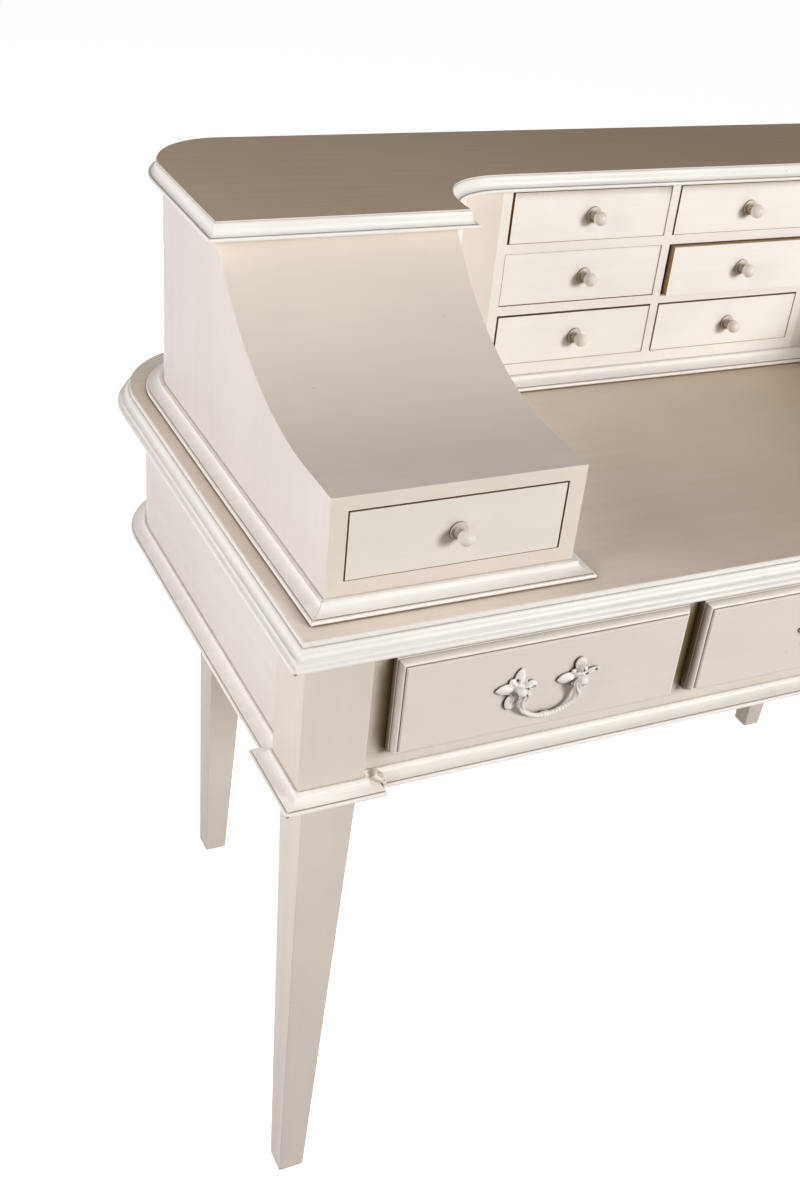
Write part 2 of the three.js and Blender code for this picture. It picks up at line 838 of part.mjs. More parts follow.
// The bail, hung from the inner sides of its two posts and leaning on the front.
// Its pivot line is the X axis.
function bail() {
  const end = pullSpacing / 2 - postHeadRadius - seatGap;
  const left = bailShares.map(([across, down]) => new THREE.Vector3(-across * end, 0, down * pullDrop));
  const right = left.map((point) => new THREE.Vector3(-point.x, 0, point.z)).reverse();
  const path = new THREE.CatmullRomCurve3([...left, new THREE.Vector3(0, 0, -pullDrop), ...right]);
  const rings = Array.from({ length: bailSteps + 1 }, (unused, i) => {
    const along = i / bailSteps;
    const centre = path.getPointAt(along);
    const ahead = i === 0 || i === bailSteps ? new THREE.Vector3(1, 0, 0) : path.getTangentAt(along);
    const side = new THREE.Vector3(-ahead.z, 0, ahead.x);
    const radius = bailRadius + bailSwell * Math.sin(Math.PI * along);
    return Array.from({ length: bailSides }, (gone, j) => {
      const angle = (2 * Math.PI * j) / bailSides;
      return centre.clone()
        .addScaledVector(side, radius * Math.cos(angle))
        .add(new THREE.Vector3(0, radius * Math.sin(angle), 0));
    });
  });
  return skin(rings).rotateX(Math.asin(bailLeanIn / pullDrop));
}

// A drawer front with a moulded edge and a raised field, its back on Y zero
function friezeFront(width, height, thickness) {
  const ring = (inset, depth) => [
    new THREE.Vector3(inset - width / 2, -depth, inset - height / 2),
    new THREE.Vector3(width / 2 - inset, -depth, inset - height / 2),
    new THREE.Vector3(width / 2 - inset, -depth, height / 2 - inset),
    new THREE.Vector3(inset - width / 2, -depth, height / 2 - inset),
  ];
  const fieldEdge = thickness - frontFieldRaise;
  const round = (share) => {
    const turn = share * Math.PI / 2;
    const inset = frontEdgeWidth * (1 - Math.cos(turn));
    return ring(inset, frontEdgeDepth + (fieldEdge - frontEdgeDepth) * Math.sin(turn));
  };
  return skin([ring(0, 0), ...frontRoundShares.map(round), ring(frontEdgeWidth, thickness)]);
}

// Frieze drawers, each with a moulded front, a tray, two leaf posts and a bail
const frontThickness = panelRecess + frontProud - seatGap;
const frontBackLine = friezeFace - seatGap;
const frontHeight = frontTop - frontBottom;
const frontCentreLevel = (frontTop + frontBottom) / 2;
const trayBottom = openingBottom + friezeTrayPlay;
const friezeTrayLength = rearPostFront - friezeTrayRearGap - frontBackLine;
Object.entries(friezeFronts).forEach(([place, { centre, width }]) => {
  const drawer = new THREE.Group();
  drawer.position.set(centre, frontBackLine, 0);
  model.add(drawer);
  const name = `frieze_drawer_${place}`;
  const trayWidth = width - 2 * frontOverlap - 2 * friezeTrayPlay;
  addPiece(drawer, `${name}_front`, friezeFront(width, frontHeight, frontThickness), drawerPaint,
    [0, 0, frontCentreLevel]);
  addPiece(drawer, `${name}_tray`, pocketBox(trayWidth, friezeTrayLength, friezeTrayHeight, {
    side: friezeTrayWall,
    front: friezeTrayWall,
    back: friezeTrayWall,
    floor: friezeTrayFloor,
  }), insideWood, [0, 0, trayBottom]);
  const pullLevel = frontCentreLevel + pullAboveCentre;
  [["left", -1], ["right", 1]].forEach(([end, side]) => {
    addPiece(drawer, `${name}_post_${end}`, pullPost(side), castPaint,
      [0, -frontThickness, pullLevel]);
  });
  addPiece(drawer, `${name}_bail`, bail(), castPaint,
    [0, -frontThickness - pivotReach, pullLevel]);
});

// Wing drawers, each a dovetailed box with a knob
const wingBoxWidth = wingOpening.x1 - wingOpening.x0 - 2 * wingTrayPlay;
const wingBoxHeight = wingOpening.z1 - wingOpening.z0 - 2 * wingTrayPlay;
[["left", 1], ["right", -1]].forEach(([place, side]) => {
  const drawer = new THREE.Group();
  drawer.position.set(side * wingCentre, wingFront, wingOpening.z0 + wingTrayPlay);
  model.add(drawer);
  const name = `wing_drawer_${place}`;
  addPiece(drawer, `${name}_box`, pocketBox(wingBoxWidth, wingBoxLength, wingBoxHeight, {
    side: smallWall,
    front: wingFrontThickness,
    back: smallWall,
    floor: smallFloor,
  }), drawerPaint);
  addPiece(drawer, `${name}_knob`, knob(), castPaint, [0, 0, wingBoxHeight / 2]);
});

// Small drawers of the bank, each a dovetailed box with a knob. One stands a little open.
const rowNames = ["bottom", "middle", "top"];
const columnNames = ["left", "right"];
bankCells.forEach((cell, i) => {
  const row = rowNames[Math.floor(i / bankColumns)];
  const column = columnNames[i % bankColumns];
  const open = row === "middle" && column === "right" ? bankOpenAtRest : 0;
  const width = cellWidth - 2 * bankPlay;
  const height = cellHeight - 2 * bankPlay;
  const drawer = new THREE.Group();
  drawer.position.set((cell.x0 + cell.x1) / 2, bankFront + bankPlay - open, cell.z0 + bankPlay / 2);
  model.add(drawer);
  const name = `bank_drawer_${row}_${column}`;
  addPiece(drawer, `${name}_box`, pocketBox(width, bankDrawerLength, height, {
    side: smallWall,
    front: smallFront,
    back: smallWall,
    floor: smallFloor,
  }), drawerPaint);
  addPiece(drawer, `${name}_knob`, knob(), castPaint, [0, 0, height / 2]);
});

// The origin is on the floor, under the middle of the whole desk
const frontReach = frontProud + pivotReach + postHeadRadius;
const rearReach = deskDepth + topBeadReach;
model.position.y = (frontReach - rearReach) / 2;

export default model;
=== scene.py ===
"""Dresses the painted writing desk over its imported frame.

The desk is a table with three frieze drawers. A U-shaped superstructure of two swept wings
and a bank of six small drawers stands on it. Sizes are given in millimetres in the maker's
frame: X to the right, Y to the back from the faces of the front posts, Z up from the floor.
"""
import logging
import math
from collections.abc import Callable
from dataclasses import dataclass, replace
from enum import Enum
from typing import ClassVar

import bmesh
import bpy
from mathutils import Matrix, Vector


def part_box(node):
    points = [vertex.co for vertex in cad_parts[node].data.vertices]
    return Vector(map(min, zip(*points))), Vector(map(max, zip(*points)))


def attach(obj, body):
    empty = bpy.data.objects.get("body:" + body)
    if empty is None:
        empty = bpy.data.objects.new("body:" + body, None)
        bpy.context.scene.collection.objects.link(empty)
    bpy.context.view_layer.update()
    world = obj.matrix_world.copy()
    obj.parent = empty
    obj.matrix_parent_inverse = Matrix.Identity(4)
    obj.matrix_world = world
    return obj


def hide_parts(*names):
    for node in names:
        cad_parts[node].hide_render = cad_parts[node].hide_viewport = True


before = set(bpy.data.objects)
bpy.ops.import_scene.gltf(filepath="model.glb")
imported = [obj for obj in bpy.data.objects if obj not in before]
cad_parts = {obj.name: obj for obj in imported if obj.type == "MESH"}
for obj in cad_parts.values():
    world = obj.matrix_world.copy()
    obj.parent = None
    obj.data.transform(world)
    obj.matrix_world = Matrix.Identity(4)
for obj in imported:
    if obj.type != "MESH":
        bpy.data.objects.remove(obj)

LOG = logging.getLogger("writing_desk")
MM = 0.001
QUARTER = math.pi / 2
FRONT_POST_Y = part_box("front_leg_left")[0].y
# How closely a face's place is compared, in metres
NEAR = 0.1 * MM
# The angle from which an edge is rounded
SHARP = math.radians(28)
# How far fixed pieces are kept apart, so that their faces don't meet
APART = 0.3

Pair = tuple[float, float]
Place = tuple[float, float, float]
Sides = tuple[Pair, Pair, Pair]
Ring = list[Place]
Shell = tuple[list[Place], list[tuple[int, ...]]]
Line = Callable[[float], list[Pair]]
Mesh = bpy.types.Mesh
Socket = bpy.types.NodeSocket
Sockets = bpy.types.bpy_prop_collection


# Small geometry tools, all in millimetres


def to_row(place: Place) -> Vector:
    """A place in the maker's frame, as metres in the row frame."""
    return Vector((place[0] * MM, place[1] * MM + FRONT_POST_Y, place[2] * MM))


def node_sides(name: str) -> Sides:
    """The place of a CAD node.

    Args:
        name: The node.

    Returns:
        Its sides on X, Y and Z.
    """
    low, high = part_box(name)
    deep = ((low.y - FRONT_POST_Y) / MM, (high.y - FRONT_POST_Y) / MM)
    return (low.x / MM, high.x / MM), deep, (low.z / MM, high.z / MM)


def turns(start: float, end: float, steps: int) -> list[float]:
    """Angles from one to another, ends included."""
    return [start + (end - start) * i / steps for i in range(steps + 1)]


def loft(rings: list[Ring], capped: bool = True) -> Shell:
    """Joins closed rings of points into one skin.

    Args:
        rings: Rings with the same number of points, in order.
        capped: Whether each end gets a flat cap.

    Returns:
        The points and the faces of the skin.
    """
    size = len(rings[0])
    points = [point for ring in rings for point in ring]
    faces: list[tuple[int, ...]] = []
    for here in range(0, len(points) - size, size):
        for j in range(size):
            side = (j + 1) % size
            faces.append((here + j, here + side, here + size + side, here + size + j))
    if capped:
        faces.append(tuple(reversed(range(size))))
        faces.append(tuple(range(len(points) - size, len(points))))
    return points, faces


def merge(*shells: Shell) -> Shell:
    """Several skins as one list of points and faces.

    Args:
        shells: The skins.

    Returns:
        The joined skin.
    """
    points: list[Place] = []
    faces: list[tuple[int, ...]] = []
    for own_points, own_faces in shells:
        start = len(points)
        points.extend(own_points)
        faces.extend(tuple(start + i for i in face) for face in own_faces)
    return points, faces


def block(x: Pair, y: Pair, z: Pair) -> Shell:
    """A board between two corners, as a skin of two rings."""
    ring = [(x[0], y[0]), (x[1], y[0]), (x[1], y[1]), (x[0], y[1])]
    return loft([[(a, b, level) for a, b in ring] for level in z])


def arc(centre: Pair, radius: float, start: float, end: float, steps: int) -> list[Pair]:
    """Points on an arc between two angles in degrees, ends included."""
    angles = turns(math.radians(start), math.radians(end), steps)
    return [(centre[0] + radius * math.cos(t), centre[1] + radius * math.sin(t)) for t in angles]


def rounded_box(u: Pair, v: Pair, radii: tuple[float, ...]) -> list[Pair]:
    """A rectangle with its own radius at each corner.

    Args:
        u: Its sides on the first axis.
        v: Its sides on the second axis.
        radii: The radii at the corners low-low, high-low, high-high and low-high.

    Returns:
        The outline, anticlockwise.
    """
    a, b, c, d = radii
    chords = 4
    return [
        *arc((u[0] + a, v[0] + a), a, 180, 270, chords),
        *arc((u[1] - b, v[0] + b), b, 270, 360, chords),
        *arc((u[1] - c, v[1] - c), c, 0, 90, chords),
        *arc((u[0] + d, v[1] - d), d, 90, 180, chords),
    ]


def flipped(points: list[Pair]) -> list[Pair]:
    """The points mirrored across the middle of the desk."""
    return [(-x, y) for x, y in points]


def both_sides(points: list[Pair]) -> list[Pair]:
    """A line that goes on as its own mirror image, back to front."""
    return [*points, *reversed(flipped(points))]


def mirrored(shell: Shell) -> Shell:
    """A skin mirrored across the middle of the desk."""
    points, faces = shell
    return [(-x, y, z) for x, y, z in points], [tuple(reversed(face)) for face in faces]


def open_plate(x: Pair, z: Pair, holes: list[tuple[Pair, Pair]], y: Pair) -> Shell:
    """A flat plate with rectangular openings right through it.

    Args:
        x: Its left and right sides.
        z: Its lower and upper sides.
        holes: The sides of each opening, as pairs of X and pairs of Z.
        y: Its front and back faces.

    Returns:
        The skin.
    """
    xs = sorted({*x, *(side for hole in holes for side in hole[0])})
    zs = sorted({*z, *(side for hole in holes for side in hole[1])})

    def solid(i: int, k: int) -> bool:
        """Whether the cell in column i and row k is wood."""
        within = 0 <= i < len(xs) - 1 and 0 <= k < len(zs) - 1
        return within and not any(a <= xs[i] < b and c <= zs[k] < d for (a, b), (c, d) in holes)

    points = [(px, py, pz) for py in y for pz in zs for px in xs]
    half = len(points) // 2

    def at(i: int, k: int, back: int) -> int:
        """The number of the point in column i and row k of one face."""
        return back * half + k * len(xs) + i

    faces: list[tuple[int, ...]] = []
    for i in range(len(xs) - 1):
        for k in range(len(zs) - 1):
            if not solid(i, k):
                continue
            corners = [(i, k), (i + 1, k), (i + 1, k + 1), (i, k + 1)]
            faces.append(tuple(at(a, b, 0) for a, b in corners))
            faces.append(tuple(at(a, b, 1) for a, b in reversed(corners)))
            for side, (a, b) in enumerate([(i, k - 1), (i + 1, k), (i, k + 1), (i - 1, k)]):
                if not solid(a, b):
                    first, second = corners[side], corners[(side + 1) % 4]
                    faces.append((at(*second, 0), at(*first, 0), at(*first, 1), at(*second, 1)))
    return points, faces


def revolve(profile: list[Pair], centre: Place, sides: int = 40) -> Shell:
    """A turned shape about an axis that runs to the front.

    Args:
        profile: Pairs of radius and distance to the front, from the back to the tip.
        centre: Where the axis meets the face behind the shape.
        sides: How many sides it has.

    Returns:
        The skin. The profile's two ends are closed by a point each.
    """
    x, y, z = centre
    rings = [
        [(x + r * math.cos(t), y - reach, z + r * math.sin(t))
         for t in turns(0.0, 2 * math.pi, sides)[:-1]]
        for r, reach in profile
    ]
    points, faces = loft(rings, capped=False)
    for start, reach in ((0, profile[0][1]), (len(points) - sides, profile[-1][1])):
        points.append((x, y - reach, z))
        tip = len(points) - 1
        faces.extend((start + j, start + (j + 1) % sides, tip) for j in range(sides))
    return points, faces


def board(outline_at: Line, profile: list[Pair]) -> Shell:
    """A flat board whose plan outline grows by a profile's reach at each level."""
    return loft([[(x, y, level) for x, y in outline_at(reach)] for reach, level in profile])


def strip(line_at: Line, profile: list[tuple]) -> Shell:
    """A wall that carries a closed profile along a plan line.

    Args:
        line_at: Gives the plan line moved outwards by a reach.
        profile: Pairs of reach and level. A level may be a function of the depth Y.

    Returns:
        The skin.
    """
    edges = [
        [(x, y, level(y) if callable(level) else level) for x, y in line_at(reach)]
        for reach, level in profile
    ]
    return loft([list(ring) for ring in zip(*edges)])


def ogee(low: Pair, high: Pair) -> list[Pair]:
    """An edge that is hollow below and round above.

    Args:
        low: The reach and level of its wide lower end.
        high: The reach and level of its narrow upper end.

    Returns:
        Pairs of reach and level.
    """
    middle = high[0] + (low[0] - high[0]) * 0.3
    waist = (low[1] + high[1]) / 2
    angles = turns(0.0, QUARTER, 9)
    return [
        *[(low[0] - (low[0] - middle) * math.sin(t), waist - (waist - low[1]) * math.cos(t))
          for t in angles],
        *[(high[0] + (middle - high[0]) * math.cos(t), waist + (high[1] - waist) * math.sin(t))
          for t in angles[1:]],
    ]


def half_bead(face: float, level: float, height: float, nose: float) -> list[Pair]:
    """A bead that swells from a flat face.

    Args:
        face: The reach of the face that it swells from.
        level: The level of its lower side.
        height: Its height.
        nose: How far it swells.

    Returns:
        Pairs of reach and level, from its lower side up.
    """
    middle = level + height / 2
    return [(face + nose * math.cos(t), middle + height / 2 * math.sin(t))
            for t in turns(-QUARTER, QUARTER, 8)]


# Nodes and finishes


def linear(code: str) -> tuple[float, float, float, float]:
    """An sRGB hex colour, such as "e6dccb", as linear red, green, blue and alpha."""
    parts = (int(code[i:i + 2], 16) / 255 for i in (0, 2, 4))
    return *(p / 12.92 if p <= 0.04045 else ((p + 0.055) / 1.055) ** 2.4 for p in parts), 1.0


@dataclass(frozen=True)
class Graph:
    """A node tree in the making."""

    tree: bpy.types.NodeTree

    def add(self, kind: str, inputs: dict | tuple = (), **settings) -> Sockets:
        """Adds a node with its settings and links.

        Args:
            kind: Its type.
            inputs: Values or sockets for its inputs, in order, or by name or number.
            settings: Its own settings.

        Returns:
            Its outputs.
        """
        node = self.tree.nodes.new(kind)
        for key, value in settings.items():
            setattr(node, key, value)
        given = inputs if isinstance(inputs, dict) else dict(enumerate(inputs))
        for key, value in given.items():
            if isinstance(value, Socket):
                self.tree.links.new(value, node.inputs[key])
            else:
                node.inputs[key].default_value = value
        return node.outputs

    def surface(
        self, colour: Socket, roughness: Socket | float, ior: float, relief: Socket,
        strength: float, depth: float,
    ) -> None:
        """Ends a material's tree.

        Args:
            colour: Its colour.
            roughness: Its roughness.
            ior: Its index of refraction.
            relief: The height of its relief.
            strength: The strength of its relief.
            depth: The depth of its relief, in millimetres.
        """
        normal = self.add(
            "ShaderNodeBump", {"Strength": strength, "Distance": depth * MM, "Height": relief},
        )[0]
        shader = self.add("ShaderNodeBsdfPrincipled", {
            "Base Color": colour, "Roughness": roughness, "IOR": ior, "Normal": normal,
        })[0]
        self.add("ShaderNodeOutputMaterial", {"Surface": shader})


class Grain(Enum):
    """The direction of the brush strokes or the wood grain."""

    X = 0
    Y = 1
    Z = 2

    def marks(
        self, graph: Graph, place: Socket, size: Pair, detail: float, roughness: float = 0.5,
        distortion: float = 0.0,
    ) -> Socket:
        """Marks that run along the grain.

        Args:
            graph: The material's tree.
            place: The place on the object.
            size: Their length and width, in millimetres.
            detail: How many finer layers they have.
            roughness: The strength of the finer layers.
            distortion: How much they are bent.

        Returns:
            Their strength.
        """
        along, across = size
        scale = tuple(1000 / (along if axis == self.value else across) for axis in range(3))
        drawn = graph.add("ShaderNodeMapping", {"Vector": place, "Scale": scale})[0]
        return graph.add("ShaderNodeTexNoise", {
            "Vector": drawn, "Scale": 1.0, "Detail": detail, "Roughness": roughness,
            "Distortion": distortion,
        })["Fac"]


@dataclass(frozen=True)
class Finish:
    """A finish, made once as a node material."""

    name: str

    def material(self) -> bpy.types.Material:
        """The finish as a node material.

        Returns:
            The material.
        """
        made = bpy.data.materials.get(self.name)
        if not made:
            made = bpy.data.materials.new(self.name)
            made.use_nodes = True
            made.node_tree.nodes.clear()
            self.lay(Graph(made.node_tree))
        return made

    def lay(self, graph: Graph) -> None:
        """Lays the finish into its empty node tree."""
        raise NotImplementedError


@dataclass(frozen=True)
class PaintedShade:
    """Painted shade in a finish's hollows, where less light gets in.

    Attributes:
        colour: Their colour.
        strength: How well they cover.
        reach: How far they spread from a corner, in millimetres.
        span: How open a place is where they are full, and where they end.
        lean: Turns the painted shade to the sides that the light from the right and above doesn't
            reach.
        above: The level above which they lie.
    """

    colour: str = "9a856d"
    strength: float = 0.45
    reach: float = 2.2
    span: Pair = (0.25, 0.85)
    lean: Place = (0.0, 0.0, 0.0)
    above: float = 0.0

    def over(self, graph: Graph, up: Socket, colour: Socket) -> Socket:
        """Lays the painted shade over a colour.

        Args:
            graph: The material's tree.
            up: The height over the floor.
            colour: The colour.

        Returns:
            The colour with its hollows.
        """
        normal = graph.add("ShaderNodeNewGeometry")["Normal"]
        normal = graph.add("ShaderNodeVectorMath", (normal, self.lean), operation="ADD")[0]
        normal = graph.add("ShaderNodeVectorMath", (normal,), operation="NORMALIZE")[0]
        near = {"Distance": self.reach * MM, "Normal": normal}
        # Painted shade: darker where little light reaches, leaned like a cast shadow
        open_sky = graph.add("ShaderNodeAmbientOcclusion", near, samples=8)["AO"]
        painted_shade = graph.add("ShaderNodeMapRange", (open_sky, *self.span, self.strength, 0.0))[0]
        levels = ((self.above - 8) * MM, (self.above + 2) * MM)
        above = graph.add("ShaderNodeMapRange", (up, *levels))[0]
        share = graph.add("ShaderNodeMath", (painted_shade, above), operation="MULTIPLY")[0]
        tones = {0: share, 6: colour, 7: linear(self.colour)}
        return graph.add("ShaderNodeMix", tones, data_type="RGBA")[2]


@dataclass(frozen=True)
class BrushedPaint(Finish):
    """Oil paint, antique white, laid on with a brush and gone satin with age.

    It gives a warm off-white with faint strokes along the grain, browner painted shade
    in the hollows, and paler arrises, partly rubbed wear and partly painted highlight.

    Attributes:
        stroke_size: The length and width of a bristle's mark, in millimetres.
        load_size: The length and width of a brush load, in millimetres.
        floor_shade: The paint's brightness at the floor, a painted shade.
        painted_falloff: Its brightness at the left and right ends, painted light and shade.
        far: Its colour at the right end, if that is another one, a painted shade where it is
            darker.
        far_range: Where the change of colour starts and ends, in metres.
        chips: The places where it has chipped off.
    """

    colour: str = "ebe4df"
    stroke: str = "dfd5cb"
    hollow: PaintedShade = PaintedShade()
    # The arrises' paler colour, partly rubbed wear and partly painted highlight
    worn: str = "fbf8f5"
    speck: str = "9b8463"
    grain: Grain = Grain.X
    roughness: float = 0.42
    stroke_strength: float = 0.22
    stroke_size: Pair = (90, 1.4)
    load_size: Pair = (260, 9)
    floor_shade: float = 1.0
    far_range: Pair = (-0.5, 0.3)
    painted_falloff: Pair = (1.0, 1.0)
    far: str = ""
    chips: tuple[Place, ...] = ()
    chip_size: float = 2.4
    bump: float = 0.10

    def lay(self, graph: Graph) -> None:
        """Lays the paint: strokes, tone, specks, hollows, rubbed arrises and chips.

        Args:
            graph: The material's tree.
        """
        place = graph.add("ShaderNodeTexCoord")["Object"]
        strokes = self.grain.marks(graph, place, self.stroke_size, 4.0, 0.6)
        loads = self.grain.marks(graph, place, self.load_size, 3.0)
        marks = graph.add("ShaderNodeMath", (strokes, loads), operation="MULTIPLY")[0]
        marks = graph.add("ShaderNodeMapRange", (marks, 0.16, 0.40, 0.0, self.stroke_strength))[0]
        # Colour from the left end to the right end, a painted shade where the far colour is darker
        across, _, up = graph.add("ShaderNodeSeparateXYZ", (place,))
        change = graph.add("ShaderNodeMapRange", (across, *self.far_range))[0]
        tones = {0: change, 6: linear(self.colour), 7: linear(self.far or self.colour)}
        plain = graph.add("ShaderNodeMix", tones, data_type="RGBA")[2]
        tones = {0: marks, 6: plain, 7: linear(self.stroke)}
        brushed = graph.add("ShaderNodeMix", tones, data_type="RGBA")[2]
        # Slow changes of tone, about 160 mm across
        slow = {"Vector": place, "Scale": 6.3, "Detail": 3.0, "Roughness": 0.55}
        cloud = graph.add("ShaderNodeTexNoise", slow)["Fac"]
        value = graph.add("ShaderNodeMapRange", (cloud, 0.3, 0.7, 0.965, 1.03))[0]
        toned = graph.add("ShaderNodeHueSaturation", {"Color": brushed, "Value": value})[0]
        # Painted light and shade: brighter or darker from the left end to the right end, and
        # painted shade towards the floor
        for values in (
            (across, -0.55, 0.55, *self.painted_falloff), (up, 0.0, 0.5, self.floor_shade, 0.5 + self.floor_shade / 2),
        ):
            dim = {0: toned, "Scale": graph.add("ShaderNodeMapRange", values)[0]}
            toned = graph.add("ShaderNodeVectorMath", dim, operation="SCALE")[0]
        # Dirt specks, 1 to 2 mm, a few in each hand's breadth
        specks = graph.add("ShaderNodeTexVoronoi", {"Vector": place, "Scale": 62.0})
        spot = graph.add("ShaderNodeMapRange", (specks["Distance"], 0.030, 0.065, 0.55, 0.0))[0]
        number = graph.add("ShaderNodeSeparateColor", (specks["Color"],))[0]
        few = graph.add("ShaderNodeMath", (number, 0.93), operation="GREATER_THAN")[0]
        spot = graph.add("ShaderNodeMath", (spot, few), operation="MULTIPLY")[0]
        tones = {0: spot, 6: toned, 7: linear(self.speck)}
        spotted = graph.add("ShaderNodeMix", tones, data_type="RGBA")[2]
        # Painted shade in the hollows and beside raised parts
        shaded = self.hollow.over(graph, up, spotted)
        # Rubbed arrises, about 1 mm wide, painted paler: partly wear and partly painted highlight
        near = {"samples": 6, "inside": True, "only_local": True}
        thin = graph.add("ShaderNodeAmbientOcclusion", {"Distance": 1.2 * MM}, **near)["AO"]
        thin = graph.add("ShaderNodeMapRange", (thin, 0.35, 0.85, 0.5, 0.0))[0]
        tones = {0: thin, 6: shaded, 7: linear(self.worn)}
        rubbed_and_highlit = graph.add("ShaderNodeMix", tones, data_type="RGBA")[2]
        range_of_gloss = (self.roughness - 0.05, self.roughness + 0.07)
        gloss = graph.add("ShaderNodeMapRange", (loads, 0.3, 0.7, *range_of_gloss))[0]
        graph.surface(self.chipped(graph, place, rubbed_and_highlit), gloss, 1.46, strokes, self.bump, 0.4)

    def chipped(self, graph: Graph, place: Socket, colour: Socket) -> Socket:
        """Shows brown wood where the paint has chipped off.

        Args:
            graph: The material's tree.
            place: The place on the object.
            colour: The paint's colour.

        Returns:
            The colour with its chips.
        """
        size = self.chip_size * MM
        for chip in self.chips:
            fine = {"Vector": place, "Scale": 420.0, "Detail": 3.0}
            edge = (graph.add("ShaderNodeTexNoise", fine)["Color"], (size,) * 3, place)
            ragged = graph.add("ShaderNodeVectorMath", edge, operation="MULTIPLY_ADD")[0]
            both = (ragged, to_row(chip) + Vector((size / 2,) * 3))
            away = graph.add("ShaderNodeVectorMath", both, operation="DISTANCE")["Value"]
            gone = graph.add("ShaderNodeMapRange", (away, size * 0.75, size, 0.85, 0.0))[0]
            tones = {0: gone, 6: colour, 7: linear(self.speck)}
            colour = graph.add("ShaderNodeMix", tones, data_type="RGBA")[2]
        return colour


@dataclass(frozen=True)
class BareWood(Finish):
    """Planed softwood, never painted, gone tan with age, for the inside of drawers.

    It gives long fine growth lines, a dull face and painted shade in its hollows.

    Attributes:
        line_size: The length and the distance of its growth lines, in millimetres.
        pore_size: The length and width of its pores, in millimetres.
    """

    early: str = "c3a97f"
    late: str = "a08258"
    hollow: str = "5a4329"
    grain: Grain = Grain.X
    roughness: float = 0.68
    line_size: Pair = (300, 4)
    pore_size: Pair = (12, 0.5)

    def lay(self, graph: Graph) -> None:
        """Lays the wood: growth lines, pores and painted shade in the hollows.

        Args:
            graph: The material's tree.
        """
        place = graph.add("ShaderNodeTexCoord")["Object"]
        growth = self.grain.marks(graph, place, self.line_size, 5.0, 0.6, 0.6)
        pores = self.grain.marks(graph, place, self.pore_size, 2.0)
        late = graph.add("ShaderNodeMapRange", (growth, 0.35, 0.68))[0]
        tones = {0: late, 6: linear(self.early), 7: linear(self.late)}
        base = graph.add("ShaderNodeMix", tones, data_type="RGBA")[2]
        # Painted shade within 12 mm of corners
        open_sky = graph.add("ShaderNodeAmbientOcclusion", {"Distance": 12 * MM}, samples=6)["AO"]
        painted_shade = graph.add("ShaderNodeMapRange", (open_sky, 0.2, 0.9, 0.6, 0.0))[0]
        tones = {0: painted_shade, 6: base, 7: linear(self.hollow)}
        shaded = graph.add("ShaderNodeMix", tones, data_type="RGBA")[2]
        graph.surface(shaded, self.roughness, 1.5, pores, 0.2, 0.3)


@dataclass(frozen=True)
class MattVinyl(Finish):
    """Studio vinyl, a matt roll that the camera sees white but for the desk's shadow.

    It gives the camera a bright face with a glow, and lights the desk as a darker one.
    """

    lit: str = "a29e9a"
    shown: str = "c8c8c8"
    glow: float = 0.93

    def lay(self, graph: Graph) -> None:
        """Lays the vinyl's two faces.

        Args:
            graph: The material's tree.
        """
        rays = graph.add("ShaderNodeLightPath")
        seen = rays["Is Camera Ray"]
        for other in ("Is Glossy Ray", "Is Transmission Ray"):
            seen = graph.add("ShaderNodeMath", (seen, rays[other]), operation="MAXIMUM")[0]
        matt = graph.add("ShaderNodeBsdfDiffuse", {"Color": linear(self.lit)})[0]
        bright = graph.add("ShaderNodeBsdfDiffuse", {"Color": linear(self.shown)})[0]
        glow = {"Color": linear("ffffff"), "Strength": self.glow}
        glow = graph.add("ShaderNodeEmission", glow)[0]
        shown = graph.add("ShaderNodeAddShader", {0: bright, 1: glow})[0]
        mixed = graph.add("ShaderNodeMixShader", {0: seen, 1: matt, 2: shown})[0]
        graph.add("ShaderNodeOutputMaterial", {"Surface": mixed})


# The copies of the antique white paint below differ in tone as painted light and shade, for how
# each face is lit
# Antique white oil paint, brushed along X, Y and Z, and on the legs and swept wings
PAINT_ACROSS = BrushedPaint("brushed_oil_paint_across")
PAINT_DEEP = BrushedPaint("brushed_oil_paint_deep", stroke_strength=0.13, grain=Grain.Y)
PAINT_UPRIGHT = BrushedPaint("brushed_oil_paint_upright", stroke_strength=0.13, grain=Grain.Z)
# The legs' paint darkens towards the floor as a painted shade
PAINT_LEG = BrushedPaint(
    "brushed_oil_paint_leg", "efe5dc", stroke_strength=0.12, grain=Grain.Z, floor_shade=0.82,
)
PAINT_WING = BrushedPaint("brushed_oil_paint_wing", "ebe1d7")
# The wing drawers' fronts, and the bank's drawers' fronts in a paler copy as painted light, both
# with painted shadows to the left of and below their knobs
PAINT_SMALL = BrushedPaint(
    "brushed_oil_paint_wing_drawer", "efe9e1", "e2d8ce", stroke_strength=0.2,
    hollow=PaintedShade("74561e", 0.95, 20.0, (0.42, 0.78), (0.5, 0.0, 0.25)),
)
PAINT_DRAWER = replace(
    PAINT_SMALL, name="brushed_oil_paint_drawer", colour="fbf8f4", stroke="ebe3da",
)
